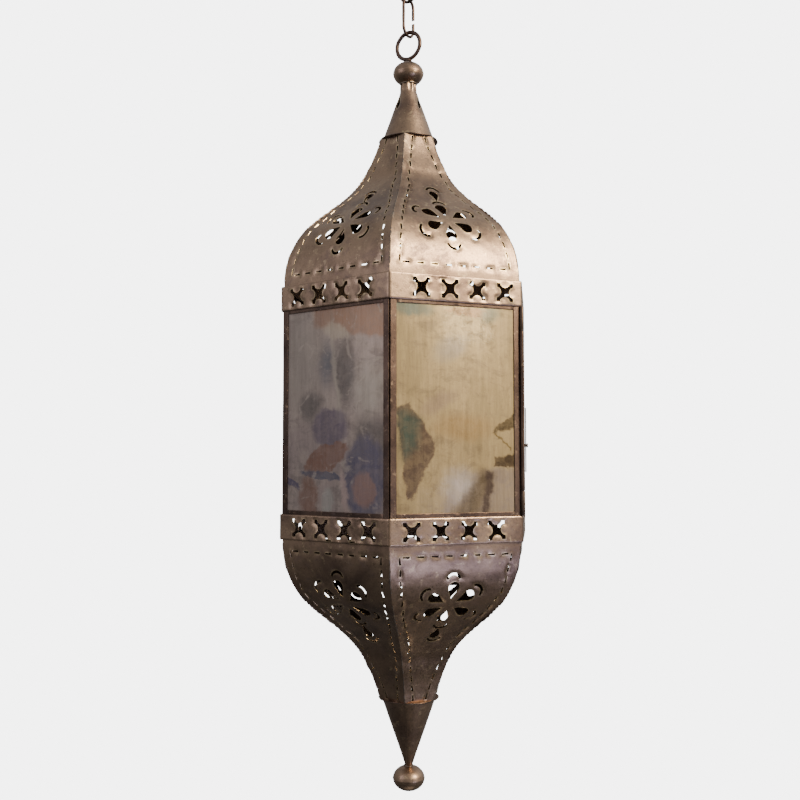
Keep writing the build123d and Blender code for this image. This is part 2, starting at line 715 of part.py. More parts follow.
with BuildPart() as floor_plate:
    with BuildSketch(Plane.XY.offset(floor_low)):
        hexagon(channel_back - solder_gap)
        with Locations((stop_back - solder_gap, 0)):
            Rectangle(2 * stop_back, 2 * corner_radius, align=(Align.MAX, Align.CENTER), mode=Mode.INTERSECT)
    extrude(amount=floor_thickness)
save(floor_plate.part, "floor_plate")

cup_floor = floor_low + floor_thickness + solder_gap
cup_brim = 6.0
with BuildPart() as candle_cup:
    with BuildSketch(Plane.XZ):
        outline([(0, cup_floor), (cup_radius + cup_brim, cup_floor), (cup_radius + cup_brim, cup_floor + sheet),
                 (cup_radius + sheet, cup_floor + sheet), (cup_radius + sheet, cup_floor + sheet + cup_depth),
                 (cup_radius, cup_floor + sheet + cup_depth), (cup_radius, cup_floor + sheet),
                 (0, cup_floor + sheet)])
    revolve(axis=Axis.Z)
save(candle_cup.part, "candle_cup")

print(f"levels: window {window_bottom:.2f} to {window_top:.2f}, lantern foot {bottom_ball_z - ball_half_height:.2f}")
print(f"hinge pin at {bead_x:.3f}, {bead_y:.3f}; turn button at {latch_along:.3f}, {latch_z:.2f}")
print("joints at", [round(z, 3) for z in (hook_wire_z, *link_bottom_wire_z)])
print(f"candle cup floor {cup_floor + sheet:.3f}; clear room to x {stop_back:.2f}")
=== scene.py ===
# %% [markdown]
# # A hexagonal lantern of pierced sheet metal
#
# The lantern is tinsmith's work: flat sheet is marked out, punched and chiselled on a block, bent, and
# soldered round a frame of folded posts. This lesson makes it the same way. Each sheet starts flat, with
# its holes cut in the flat, and is then bent to the curve that the CAD model gives. The CAD model also
# gives the pieces their sizes and places.

# %% Load the frame
import json
import math
import random
from contextlib import contextmanager
from math import cos, pi, radians, sin, tan

import bmesh
import bpy
from mathutils import Matrix, Vector, noise as field

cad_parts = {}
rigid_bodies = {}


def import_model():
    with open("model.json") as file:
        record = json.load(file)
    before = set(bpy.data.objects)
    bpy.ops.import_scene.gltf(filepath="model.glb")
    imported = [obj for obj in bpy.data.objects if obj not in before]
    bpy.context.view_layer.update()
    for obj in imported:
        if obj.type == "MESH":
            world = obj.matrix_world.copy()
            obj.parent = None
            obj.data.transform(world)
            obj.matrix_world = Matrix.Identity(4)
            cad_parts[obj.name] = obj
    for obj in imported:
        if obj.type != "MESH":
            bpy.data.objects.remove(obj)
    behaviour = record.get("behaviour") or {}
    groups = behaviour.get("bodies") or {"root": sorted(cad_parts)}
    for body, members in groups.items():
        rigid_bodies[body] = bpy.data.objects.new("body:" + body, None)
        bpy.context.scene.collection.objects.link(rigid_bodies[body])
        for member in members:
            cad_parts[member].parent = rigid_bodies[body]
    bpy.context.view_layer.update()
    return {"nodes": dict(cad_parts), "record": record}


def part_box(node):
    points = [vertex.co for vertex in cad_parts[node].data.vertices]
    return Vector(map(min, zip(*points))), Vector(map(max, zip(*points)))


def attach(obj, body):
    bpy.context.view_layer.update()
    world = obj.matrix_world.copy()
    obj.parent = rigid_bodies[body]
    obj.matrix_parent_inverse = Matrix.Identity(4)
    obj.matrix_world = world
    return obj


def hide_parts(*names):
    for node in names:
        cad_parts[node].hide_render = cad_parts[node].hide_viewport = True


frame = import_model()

MM = 0.001

# %% [markdown]
# ## Sizes that the frame gives
#
# The bands, the panes and the discs are read from the CAD nodes' boxes. The six sides face -60, 0, 60 ...
# degrees, and the door is the side at 0, towards +X. The camera looks at the edge between the sides at
# 240 and -60 degrees.

# %% Read the levels and the sides
HALF_SIDE = radians(30)
SLOPE = tan(HALF_SIDE)
SHEET = 0.8 * MM
upper_band_low, upper_band_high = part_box("upper_band")
band_apothem = upper_band_high.x
side_length = band_apothem / cos(HALF_SIDE)
window_top, dome_foot = upper_band_low.z, upper_band_high.z
window_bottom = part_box("lower_band")[1].z
middle_z = (window_top + window_bottom) / 2
side_angles = [radians(-60 + 60 * k) for k in range(6)]
post_angles = [radians(-30 + 60 * k) for k in range(6)]
print(f"band apothem {band_apothem / MM:.1f} mm, window {window_bottom:.4f} to {window_top:.4f} m")

# %% [markdown]
# ## A small language for node trees
#
# Node trees are sums, so they read best as sums. `Value` wraps one socket and turns `a * 2 + b` into Math
# nodes. `Tree` adds any other node from its type, its settings and the values or links of its inputs. The
# same two classes write the Geometry Nodes trees and the materials.

# %% Value and Tree
class Value:
    """One socket of a tree, with the arithmetic that Math nodes do."""

    def __init__(self, tree, socket):
        self.tree, self.socket = tree, socket

    def __add__(self, other): return self.tree.math("ADD", self, other)
    def __radd__(self, other): return self.tree.math("ADD", other, self)
    def __sub__(self, other): return self.tree.math("SUBTRACT", self, other)
    def __rsub__(self, other): return self.tree.math("SUBTRACT", other, self)
    def __mul__(self, other): return self.tree.math("MULTIPLY", self, other)
    def __rmul__(self, other): return self.tree.math("MULTIPLY", other, self)
    def __truediv__(self, other): return self.tree.math("DIVIDE", self, other)
    def __neg__(self): return self.tree.math("MULTIPLY", self, -1.0)


class Tree:
    """Adds nodes to a node group or a material."""

    def __init__(self, node_tree):
        self.nodes, self.links, self.data = node_tree.nodes, node_tree.links, node_tree

    def node(self, kind, settings=None, out=0, **inputs):
        node = self.nodes.new(kind)
        for name, value in (settings or {}).items():
            setattr(node, name, value)
        for name, value in inputs.items():
            key = int(name[1:]) if name[0] == "_" else name.replace("_", " ")
            socket = node.inputs[key]
            if isinstance(value, Value):
                self.links.new(value.socket, socket)
            elif isinstance(value, (list, tuple)) and value and isinstance(value[0], Value):
                for item in value:
                    self.links.new(item.socket, socket)
            else:
                socket.default_value = value
        if isinstance(out, (list, tuple)):
            return [Value(self, node.outputs[name]) for name in out]
        return Value(self, node.outputs[out])

    def math(self, operation, *terms, clamp=False):
        inputs = {f"_{k}": term for k, term in enumerate(terms)}
        return self.node("ShaderNodeMath", {"operation": operation, "use_clamp": clamp}, **inputs)

    def vector(self, operation, *terms, out=0):
        inputs = {f"_{k}": term for k, term in enumerate(terms)}
        return self.node("ShaderNodeVectorMath", {"operation": operation}, out=out, **inputs)

    def xyz(self, vector):
        return self.node("ShaderNodeSeparateXYZ", out=("X", "Y", "Z"), Vector=vector)

    def point(self, x, y, z):
        return self.node("ShaderNodeCombineXYZ", X=x, Y=y, Z=z)

    def random(self, low, high, seed):
        return self.node("FunctionNodeRandomValue", {"data_type": "FLOAT"}, _2=low, _3=high, _8=seed, out=1)

    def remap(self, value, low, high, to_low=0.0, to_high=1.0, smooth=True):
        kind = "SMOOTHSTEP" if smooth else "LINEAR"
        return self.node("ShaderNodeMapRange", {"interpolation_type": kind}, Value=value, From_Min=low,
                         From_Max=high, To_Min=to_low, To_Max=to_high)


def node_group(name, inputs):
    """Geometry Nodes group, geometry in and out, with named inputs: (name, kind of socket, default)."""
    group = bpy.data.node_groups.new(name, "GeometryNodeTree")
    group.is_modifier = True
    group.interface.new_socket("Geometry", in_out="INPUT", socket_type="NodeSocketGeometry")
    group.interface.new_socket("Geometry", in_out="OUTPUT", socket_type="NodeSocketGeometry")
    for label, kind, default in inputs:
        socket = group.interface.new_socket(label, in_out="INPUT", socket_type="NodeSocket" + kind)
        if default is not None:
            socket.default_value = default
    tree = Tree(group)
    start = group.nodes.new("NodeGroupInput")
    values = {socket.name: Value(tree, socket) for socket in start.outputs if socket.name}
    return tree, values


def close_group(tree, geometry, material):
    """The end of every tree: real geometry and a material."""
    realised = tree.node("GeometryNodeRealizeInstances", Geometry=geometry)
    dressed = tree.node("GeometryNodeSetMaterial", Geometry=realised, Material=material)
    end = tree.nodes.new("NodeGroupOutput")
    tree.links.new(dressed.socket, end.inputs["Geometry"])


def linked(name, data):
    """New object in the scene."""
    made = bpy.data.objects.new(name, data)
    bpy.context.scene.collection.objects.link(made)
    return made


def evaluated_mesh(piece):
    """What an object's modifiers make of it, as a mesh of its own."""
    bpy.context.view_layer.update()
    evaluated = piece.evaluated_get(bpy.context.evaluated_depsgraph_get())
    return bpy.data.meshes.new_from_object(evaluated)


def run_group(group, base, name, **values):
    """Run a tree on a base mesh and keep its result as a plain mesh object."""
    holder = linked(name + "_base", base)
    modifier = holder.modifiers.new("tree", "NODES")
    modifier.node_group = group
    for item in group.interface.items_tree:
        if item.item_type == "SOCKET" and item.in_out == "INPUT" and item.name in values:
            modifier[item.identifier] = values[item.name]
    mesh = evaluated_mesh(holder)
    bpy.data.objects.remove(holder)
    mesh.name = name
    print(f"{name}: {len(mesh.polygons)} faces")
    return linked(name, mesh)


print("trees and values ready")

# %% [markdown]
# ## Small mesh helpers
#
# Most pieces end as a plain mesh in a new object.

# %% Mesh helpers
def mesh_object(name, points, faces, material=None, smooth=False):
    mesh = bpy.data.meshes.new(name)
    mesh.from_pydata([tuple(p) for p in points], [], faces)
    mesh.validate()
    mesh.update()
    if smooth:
        mesh.shade_smooth()
    if material:
        mesh.materials.append(material)
    return linked(name, mesh)


@contextmanager
def editing(mesh):
    """Open a mesh for bmesh and write it back afterwards."""
    work = bmesh.new()
    work.from_mesh(mesh)
    yield work
    work.to_mesh(mesh)
    work.free()


def outwards(mesh):
    """Make the faces of a closed mesh point outwards."""
    with editing(mesh) as work:
        bmesh.ops.recalc_face_normals(work, faces=work.faces)


def keep(piece, body, slot, *nodes):
    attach(piece, body)
    if nodes:
        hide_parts(*nodes)
    return piece


def apply_modifiers(piece):
    """Bake an object's modifiers into its mesh."""
    mesh = evaluated_mesh(piece)
    piece.modifiers.clear()
    piece.data = mesh
    return piece


print("helpers ready")

# %% [markdown]
# ## Finishes
#
# The sheet is brass or bronze that was darkened with acid and rubbed back: brown to mauve in the hollows,
# warm and brighter where hands and cloth reach it, with a thin bright line at every cut. The chain is plain
# wire gone nearly black. The panes are mirror glass whose silvering was eaten away in clouds and veins.
# Every finish reads Object coordinates in metres, so its grain is the same size on every piece.

# %% Bronze
def material(name):
    """Empty material with its tree and its shader."""
    made = bpy.data.materials.new(name)
    made.use_nodes = True
    tree = Tree(made.node_tree)
    shader = next(n for n in made.node_tree.nodes if n.type == "BSDF_PRINCIPLED")
    return made, tree, shader


def noise(tree, where, scale, detail=4.0, roughness=0.55, distortion=0.0):
    return tree.node("ShaderNodeTexNoise", Vector=where, Scale=scale, Detail=detail, Roughness=roughness,
                     Distortion=distortion)


def blend(tree, factor, first, second, mode="MIX"):
    """Mix two colours: each is a socket or a plain colour."""
    node = tree.nodes.new("ShaderNodeMix")
    node.data_type, node.blend_type = "RGBA", mode
    for socket, value in ((node.inputs[0], factor), (node.inputs[6], first), (node.inputs[7], second)):
        if isinstance(value, Value):
            tree.links.new(value.socket, socket)
        elif isinstance(value, (tuple, list)):
            socket.default_value = (*value, 1.0) if len(value) == 3 else value
        else:
            socket.default_value = value
    return Value(tree, node.outputs[2])


def set_shader(tree, shader, **sockets):
    for name, value in sockets.items():
        socket = shader.inputs[name.replace("_", " ")]
        if isinstance(value, Value):
            tree.links.new(value.socket, socket)
        else:
            socket.default_value = value


def bump(tree, height, distance, strength=1.0):
    return tree.node("ShaderNodeBump", Height=height, Distance=distance, Strength=strength)


def aged_metal(name, dark, middle, bright, patina, roughness=0.34, rub=1.0, grain=1.0):
    """Darkened and rubbed sheet metal; bright shows at cut edges, patina in the hollows."""
    made, tree, shader = material(name)
    where = tree.node("ShaderNodeTexCoord", out="Object")
    clouds = noise(tree, where, 22.0, 5.0, 0.6, 0.4)
    blotches = noise(tree, where, 75.0, 4.0, 0.65, 0.8)
    specks = noise(tree, where, 520.0, 3.0, 0.7)
    stretched = tree.vector("MULTIPLY", where, (900.0, 900.0, 110.0))
    scratches = noise(tree, stretched, 1.0, 2.0, 0.6)
    rim = tree.node("ShaderNodeAttribute", {"attribute_name": "rim"}, out="Fac")
    tone = blend(tree, tree.remap(clouds, 0.28, 0.62), dark, middle)
    stain = tree.remap(blotches, 0.50, 0.74) * 0.45
    tone = blend(tree, stain, tone, patina)
    worn = tree.remap(noise(tree, where, 140.0, 6.0, 0.7), 0.56, 0.74) * 0.45 * rub
    tone = blend(tree, worn, tone, bright)
    edge = tree.math("MINIMUM", rim * tree.remap(blotches, 0.38, 0.60, 0.15, 1.0), 1.0)
    tone = blend(tree, edge * 0.6, tone, bright)
    pits = tree.remap(specks, 0.30, 0.42, 1.0, 0.0)
    tone = blend(tree, pits * 0.35, tone, (0.02, 0.014, 0.012))
    rough = roughness + stain * 0.20 + tree.remap(specks, 0.3, 0.7, -0.05, 0.08) - edge * 0.10
    relief = blotches * 0.5 + scratches * 0.16 * grain + specks * 0.22 - pits * 0.12
    set_shader(tree, shader, Base_Color=tone, Roughness=rough, Metallic=1.0 - stain * 0.25,
               Normal=bump(tree, relief, 0.25 * MM, 0.55))
    return made


sheet_bronze = aged_metal("rubbed_bronze_sheet", (0.165, 0.112, 0.086), (0.32, 0.222, 0.155),
                          (0.86, 0.68, 0.41), (0.115, 0.082, 0.086))
# The frame bronze is far darker than the sheet: partly the frame's own tone, partly painted shade of the dark
# posts and their grooves.
frame_bronze = aged_metal("rubbed_bronze_frame", (0.050, 0.034, 0.030), (0.125, 0.084, 0.066),
                          (0.60, 0.43, 0.29), (0.060, 0.044, 0.042), roughness=0.36)
# The inside pieces take a darker, duller copy of the bronze: painted shade of the lantern's inside.
inner_sheet = aged_metal("smoked_inner_sheet", (0.060, 0.042, 0.032), (0.16, 0.11, 0.075),
                         (0.42, 0.32, 0.20), (0.035, 0.028, 0.026), roughness=0.55)
dark_wire = aged_metal("dark_wire", (0.075, 0.050, 0.042), (0.14, 0.098, 0.080),
                       (0.40, 0.31, 0.26), (0.045, 0.034, 0.032), roughness=0.42, rub=0.9)
dull_fitting = aged_metal("dull_fitting", (0.045, 0.034, 0.030), (0.12, 0.088, 0.070),
                          (0.45, 0.36, 0.28), (0.03, 0.026, 0.026), roughness=0.45)
solder = aged_metal("darkened_solder", (0.11, 0.085, 0.072), (0.26, 0.205, 0.165),
                    (0.72, 0.62, 0.50), (0.09, 0.075, 0.072), roughness=0.40, rub=1.3)
print("metals:", [m.name for m in (sheet_bronze, frame_bronze, inner_sheet, dark_wire, dull_fitting, solder)])

# %% [markdown]
# ## Punches
#
# The tinsmith has a chisel for the dashes, shaped punches for the petals and crescents, and a four-lobed
# punch for the X cuts. Each is a short prism here, kept in a collection that the Geometry Nodes tree picks
# from by number. Their sizes are the CAD model's, but the chisel is a little thicker.

# %% Punch shapes
PUNCH_REACH = 4 * MM
DASH, PETAL, CRESCENT, BUD, CROSS, LENS = range(6)


def arc_points(centre, radius, start, end, count):
    """Points on an arc, in degrees, both ends included."""
    return [(centre[0] + radius * cos(radians(start + (end - start) * k / (count - 1))),
             centre[1] + radius * sin(radians(start + (end - start) * k / (count - 1)))) for k in range(count)]


def teardrop(start, length, radius):
    """Petal along +Y with its point nearest the origin."""
    middle = start + length - radius
    spread = math.degrees(math.asin(radius / (length - radius)))
    return [(0, start)] + arc_points((0, middle), radius, -spread, 180 + spread, 19)


def crescent_outline(centre, radius, width):
    outer = arc_points((0, centre), radius + width / 2, 14, 166, 15)
    return outer + arc_points((0, centre - width * 0.55), radius - width * 0.25, 160, 20, 13)


def cross_outline(width, height, tab_radius, tab_reach):
    """Square with a round tab of metal left standing on each side."""
    points = []
    for turn, half, other in ((0, width / 2, height / 2), (90, height / 2, width / 2),
                              (180, width / 2, height / 2), (270, height / 2, width / 2)):
        away = half - tab_reach + tab_radius
        reach = math.degrees(math.acos((away - half) / tab_radius))
        side = arc_points((away, 0), tab_radius, 180 + reach, 180 - reach, 13)
        c, s = cos(radians(turn)), sin(radians(turn))
        corner = [(half, -other)] + side
        points += [(x * c - y * s, x * s + y * c) for x, y in corner]
    return points


def lens_outline(width, height):
    radius = (height ** 2 + width ** 2) / (4 * width)
    reach = math.degrees(math.asin(height / 2 / radius))
    right = arc_points((width / 2 - radius, 0), radius, -reach, reach, 11)
    return right + arc_points((radius - width / 2, 0), radius, 180 - reach, 180 + reach, 11)[1:-1]


def prism(name, outline, reach):
    count = len(outline)
    points = [(x, y, -reach) for x, y in outline] + [(x, y, reach) for x, y in outline]
    faces = [tuple(reversed(range(count))), tuple(range(count, 2 * count))]
    faces += [(k, (k + 1) % count, count + (k + 1) % count, count + k) for k in range(count)]
    return mesh_object(name, points, faces)


punch_outlines = {
    "dash": [(x * 3.3 * MM, y * 0.98 * MM) for x, y in ((-1, -0.6), (1, -1), (1, 1), (-1, 0.6))],
    "petal": teardrop(7 * MM, 19 * MM, 5.7 * MM),
    "crescent": crescent_outline(28 * MM, 6.8 * MM, 2.2 * MM),
    "bud": teardrop(-13 * MM, 18 * MM, 5.0 * MM),
    "cross": cross_outline(17 * MM, 17.5 * MM, 5.2 * MM, 4.3 * MM),
    "lens": lens_outline(6.5 * MM, 16 * MM),
}
punches = bpy.data.collections.new("punches")
for number, (label, outline) in enumerate(punch_outlines.items()):
    tool = prism(f"{number}_{label}", outline, PUNCH_REACH)
    bpy.context.scene.collection.objects.unlink(tool)
    punches.objects.link(tool)
    print(tool.name, len(outline), "points round")

# %% [markdown]
# ## The tree that pierces and bends a sheet
#
# A sheet is a thin slab lying flat: x runs across it, y up it. The base mesh is the plan, one point for
# each blow of a punch, with the punch's number and its turn. The tree strikes the punches out of the slab,
# dents the metal round each cut, then hands every point to a bend, which differs between the gores, the
# bands and the cones. `rim` is stored for the finish: 1 at a cut, fading over a millimetre.

# %% Pierced sheet tree
def plan_mesh(name, marks):
    """Plan of punch marks: (x, y, punch, turn in radians)."""
    mesh = bpy.data.meshes.new(name)
    mesh.from_pydata([(x, y, 0.0) for x, y, _, _ in marks], [], [])
    for label, kind, column in (("punch", "INT", 2), ("turn", "FLOAT", 3)):
        attribute = mesh.attributes.new(label, kind, "POINT")
        attribute.data.foreach_set("value", [mark[column] for mark in marks])
    return mesh


def named(tree, name, data_type="FLOAT"):
    return tree.node("GeometryNodeInputNamedAttribute", {"data_type": data_type}, Name=name)


def pierced_sheet(name, half_width, bend, more=()):
    """Tree of a pierced sheet; half_width gives its outline and bend its shape."""
    tree, given = node_group(name, [
        ("Curve", "Object", None), ("Punches", "Collection", None),
        ("Length", "Float", 0.1), ("Thickness", "Float", SHEET),
        ("Columns", "Int", 90), ("Rows", "Int", 130),
        ("Dent depth", "Float", 0.7 * MM), ("Dent reach", "Float", 2.0 * MM),
        ("Wobble", "Float", 0.4 * MM), ("Unevenness", "Float", 0.04),
        ("Seed", "Int", 1), ("Material", "Material", None), *more])
    thickness = given["Thickness"]
    # the slab: x from -0.5 to 0.5 is stretched to the outline, the outer skin is at z = 0
    slab = tree.node("GeometryNodeMeshCube", Size=tree.point(1.0, given["Length"], thickness),
                     Vertices_X=given["Columns"], Vertices_Y=given["Rows"], Vertices_Z=2)
    across, up, deep = tree.xyz(tree.node("GeometryNodeInputPosition"))
    up = up + given["Length"] / 2.0
    stretched = tree.point(across * 2.0 * half_width(tree, given, up), up, deep - thickness / 2.0)
    slab = tree.node("GeometryNodeSetPosition", Geometry=slab, Position=stretched)
    # the blows: each a little off its mark, a little turned, a little bigger or smaller
    tools = tree.node("GeometryNodeCollectionInfo", Collection=given["Punches"], Separate_Children=True,
                      Reset_Children=True)
    uneven = given["Unevenness"]
    spread = tree.random(-1.0, 1.0, given["Seed"])
    twist = tree.random(-1.0, 1.0, given["Seed"] + 7.0)
    size = uneven * spread + 1.0
    turn = named(tree, "turn") + uneven * twist
    struck = tree.node("GeometryNodeInstanceOnPoints", Points=given["Geometry"], Instance=tools,
                       Pick_Instance=True, Instance_Index=named(tree, "punch", "INT"),
                       Rotation=tree.point(0.0, 0.0, turn), Scale=tree.point(size, size, 1.0))
    blows = tree.node("GeometryNodeRealizeInstances", Geometry=struck)
    cut = tree.node("GeometryNodeMeshBoolean", {"operation": "DIFFERENCE", "solver": "MANIFOLD"},
                    Mesh_1=slab, Mesh_2=blows)
    # how far each point is from the nearest cut, and which way the metal went there
    place = tree.node("GeometryNodeInputPosition")
    flat_x, flat_y, flat_z = tree.xyz(place)
    on_skin = tree.point(flat_x, flat_y, 0.0)
    gap = tree.node("GeometryNodeProximity", {"target_element": "FACES"}, Geometry=blows,
                    Sample_Position=on_skin, out="Distance")
    seeded = tree.vector("ADD", on_skin, tree.point(0.0, 0.0, given["Seed"] * 0.137))
    swing = tree.remap(noise(tree, seeded, 55.0, 1.0), 0.36, 0.62, 1.0, -0.45)
    near = gap / given["Dent reach"]
    bell = tree.math("EXPONENT", -(near * near))
    wave = noise(tree, seeded, 26.0, 2.0) - 0.5
    hammer = noise(tree, seeded, 120.0, 1.0) - 0.5
    rim = tree.math("EXPONENT", -(gap / (0.5 * MM)))
    stored = tree.node("GeometryNodeStoreNamedAttribute", {"data_type": "FLOAT", "domain": "POINT"},
                       Geometry=cut, Name="rim", Value=rim)
    offset = flat_z - bell * swing * given["Dent depth"]
    uneven = wave * given["Wobble"] * 2.0 + hammer * given["Wobble"] * 0.5
    final = bend(tree, given, flat_x, flat_y, offset, uneven)
    bent = tree.node("GeometryNodeSetPosition", Geometry=stored, Position=final)
    # smooth over the dents, crisp at the cut edges
    angle = tree.node("GeometryNodeInputMeshEdgeAngle", out="Unsigned Angle")
    crisp = tree.math("GREATER_THAN", angle, radians(38))
    smooth = tree.node("GeometryNodeSetShadeSmooth", {"domain": "FACE"}, Geometry=bent, Shade_Smooth=True)
    smooth = tree.node("GeometryNodeSetShadeSmooth", {"domain": "EDGE"}, Geometry=smooth, Selection=crisp,
                       Shade_Smooth=False)
    close_group(tree, smooth, given["Material"])
    return tree.data


def sample(tree, curve, way):
    """Position and direction of a curve object, a given length along it."""
    shape = tree.node("GeometryNodeObjectInfo", Object=curve, out="Geometry")
    return tree.node("GeometryNodeSampleCurve", {"mode": "LENGTH"}, Curves=shape, Length=way,
                     out=("Position", "Tangent"))


print("sheet tree ready")

# %% [markdown]
# ## Gores
#
# A gore is one curved side of a dome. Its sheet bends one way only, so a flat pattern wraps onto it with no
# stretch. The curve is read from the corner of the CAD gore, where no hole breaks it: the outermost point of
# the cut edge at each level, thinned to a few, with a smooth curve through them.

# %% The domes' curve
def corner_profile(node, count):
    """Outer edge of a CAD gore that faces +X, as distance from the axis and level, from its foot up."""
    rows = {}
    for vertex in frame["nodes"][node].data.vertices:
        x, y, z = vertex.co
        if y > x * SLOPE - 0.2 * MM:
            key = round(z / (0.5 * MM))
            if key not in rows or x > rows[key][0]:
                rows[key] = (x, z)
    points = [rows[key] for key in sorted(rows)]
    ends = (0, len(points) - 1)
    outer = [p for k, p in enumerate(points)
             if k in ends or not (points[k - 1][0] - p[0] > 0.5 * MM and points[k + 1][0] > p[0])]
    low, high = outer[0][1], outer[-1][1]
    wanted = [low + (high - low) * k / (count - 1) for k in range(count)]
    return outer, [min(outer, key=lambda p: abs(p[1] - level)) for level in wanted]


outer_edge, dome_points = corner_profile("upper_gore_2", 15)
print("dome curve, mm out and up:",
      [(round(x / MM, 1), round((z - dome_foot) / MM, 1)) for x, z in dome_points])

# %% [markdown]
# The punch marks follow the tinsmith's layout. One row of dashes runs along the foot and one up each edge,
# then comes a flower of six petals, each with its crescent, and a bud above it. Ways up are along the
# sheet, from the seam with the band.

# %% One gore
SKIRT = 2.5 * MM                                    # of the sheet, behind the band
FOOT_ROW, FOOT_PITCH = 10.5 * MM, 14.25 * MM        # the dashes along the foot
EDGE_START, EDGE_PITCH, EDGE_INSET = 13.8 * MM, 11.0 * MM, 9.75 * MM
FLOWER_AT, BUD_AT, BUD_CRESCENT_AT = 61 * MM, 108 * MM, 83 * MM


def curve_object(name, points, kind="POLY"):
    """Curve through points, straight between them or smooth."""
    data = bpy.data.curves.new(name, "CURVE")
    data.dimensions, data.resolution_u = "3D", 24
    spline = data.splines.new(kind)
    knots = spline.bezier_points if kind == "BEZIER" else spline.points
    knots.add(len(points) - 1)
    for knot, point in zip(knots, points):
        if kind == "BEZIER":
            knot.co = point
            knot.handle_left_type = knot.handle_right_type = "AUTO"
        else:
            knot.co = (*point, 1.0)
    return linked(name, data)


def curve_length(points):
    return sum((Vector(b) - Vector(a)).length for a, b in zip(points, points[1:]))


dome_curve = curve_object("dome_curve", [(x, 0, z) for x, z in dome_points], "BEZIER")
dome_length = curve_length([(x, 0, z) for x, z in outer_edge])


def along_dome(way):
    """Distance from the axis, level and slope of the skin, a way up from the seam."""
    left = way
    for (x0, z0), (x1, z1) in zip(outer_edge, outer_edge[1:]):
        step = math.hypot(x1 - x0, z1 - z0)
        if z1 > dome_foot and left <= step:
            return x0 + (x1 - x0) * left / step, z0 + (z1 - z0) * left / step, (x1 - x0) / step
        if z1 > dome_foot:
            left -= step
    return (*outer_edge[-1], 0.0)


def gore_marks():
    marks = [((k - 3.5) * FOOT_PITCH, FOOT_ROW, DASH, 0.0) for k in range(8)]
    way = EDGE_START
    while way < dome_length - SKIRT - 7 * MM:
        x, _, run = along_dome(way)
        lean = math.atan(-run * SLOPE)
        across = x * SLOPE - EDGE_INSET / cos(lean)
        marks += [(side * across, way, DASH, pi / 2 + side * lean) for side in (-1, 1)]
        way += EDGE_PITCH * cos(lean)
    marks += [(0, FLOWER_AT, tool, radians(60 * k)) for k in range(6) for tool in (PETAL, CRESCENT)]
    marks += [(0, BUD_AT, BUD, 0.0), (0, BUD_CRESCENT_AT, CRESCENT, 0.0)]
    return [(x, y + SKIRT, tool, turn) for x, y, tool, turn in marks]


def gore_half_width(tree, given, way):
    position = sample(tree, given["Curve"], way)[0]
    x, _, _ = tree.xyz(position)
    return x * SLOPE - 0.03 * MM


def gore_bend(tree, given, across, way, offset, wave):
    position, tangent = sample(tree, given["Curve"], way)
    x, _, z = tree.xyz(position)
    run, _, rise = tree.xyz(tangent)
    # the waves die away at the soldered edges
    inner = x * SLOPE - tree.math("ABSOLUTE", across)
    fade = tree.remap(inner, 0.0, 9 * MM) * tree.remap(way, 3 * MM, 12 * MM)
    fade = fade * tree.remap(given["Length"] - way, 0.0, 9 * MM)
    deep = offset + wave * fade
    mitre = deep * rise / x + 1.0
    return tree.point(x + rise * deep, across * mitre, z - run * deep)


gore_tree = pierced_sheet("gore_sheet", gore_half_width, gore_bend)
gore_patterns = []
for number in range(3):
    plan = plan_mesh("gore_plan", gore_marks())
    gore_patterns.append(run_group(gore_tree, plan, f"gore_pattern_{number}", Curve=dome_curve,
                                   Punches=punches, Length=dome_length, Columns=96, Rows=128,
                                   Seed=number + 3, Material=sheet_bronze))


def placed_copy(pattern, name, matrix, mirrored=False):
    """Copy of a finished sheet with its place in its mesh."""
    mesh = pattern.data.copy()
    mesh.transform(matrix)
    if mirrored:
        mesh.flip_normals()
    mesh.name = name
    return linked(name, mesh)


upside_down = Matrix.Translation((0, 0, 2 * middle_z)) @ Matrix.Diagonal((1, 1, -1, 1))
for k, angle in enumerate(side_angles):
    turned = Matrix.Rotation(angle, 4, "Z")
    upper = placed_copy(gore_patterns[k % 3], f"upper_gore_sheet_{k + 1}", turned)
    keep(upper, "lantern", "aged_bronze_sheet", f"upper_gore_{k + 1}")
    lower = placed_copy(gore_patterns[(k + 1) % 3], f"lower_gore_sheet_{k + 1}", upside_down @ turned, True)
    keep(lower, "lantern", "aged_bronze_sheet", f"lower_gore_{k + 1}")
for pattern in gore_patterns:
    bpy.data.objects.remove(pattern)
print("twelve gores hung")

# %% [markdown]
# ## Bands
#
# A band is one strip with its two edges turned in, wrapped round six corners. The same tree strikes the X
# cuts in the flat strip. Its bend reads two curves: the section, which is the strip's way from lip to lip,
# and the path round the lantern.

# %% Two bands
CUT_PITCH = 28.5                 # mm between X cuts
BAND_INSET = 0.45 * MM           # room for the hand-made unevenness inside the CAD band


def hexagon_path(apothem, corner, level, start):
    """Hexagon with rounded corners, once round from a start angle at the middle of a side."""
    points = []
    for k in range(6):
        middle = start + radians(60 * k + 30)
        centre = (apothem - corner) / cos(HALF_SIDE)
        for step in range(9):
            turn = middle - HALF_SIDE + 2 * HALF_SIDE * step / 8
            points.append((centre * cos(middle) + corner * cos(turn),
                           centre * sin(middle) + corner * sin(turn), level))
    first = (apothem * cos(start), apothem * sin(start), level)
    return [first] + points + [first]


band_height = upper_band_high.z - upper_band_low.z
round_edge = 0.9 * MM
lip_to_dome, lip_to_posts = 3.0 * MM, 2.1 * MM
bend_steps = [radians(-90 + 90 * k / 6) for k in range(7)]
edge_bend = [(round_edge * (cos(a) - 1), 0, round_edge * (1 + sin(a))) for a in bend_steps]
band_section = ([(-lip_to_posts, 0, 0)] + edge_bend
                + [(x, 0, band_height - z) for x, _, z in reversed(edge_bend)]
                + [(-lip_to_dome, 0, band_height)])
section_curve = curve_object("band_section", band_section)
section_length = curve_length(band_section)
section_middle = lip_to_posts - round_edge + round_edge * pi / 2 + band_height / 2 - round_edge
joint_angle = side_angles[3]
band_path = hexagon_path(band_apothem - BAND_INSET, 2.5 * MM, 0, joint_angle)
path_curve = curve_object("band_path", band_path)
path_length = curve_length(band_path)


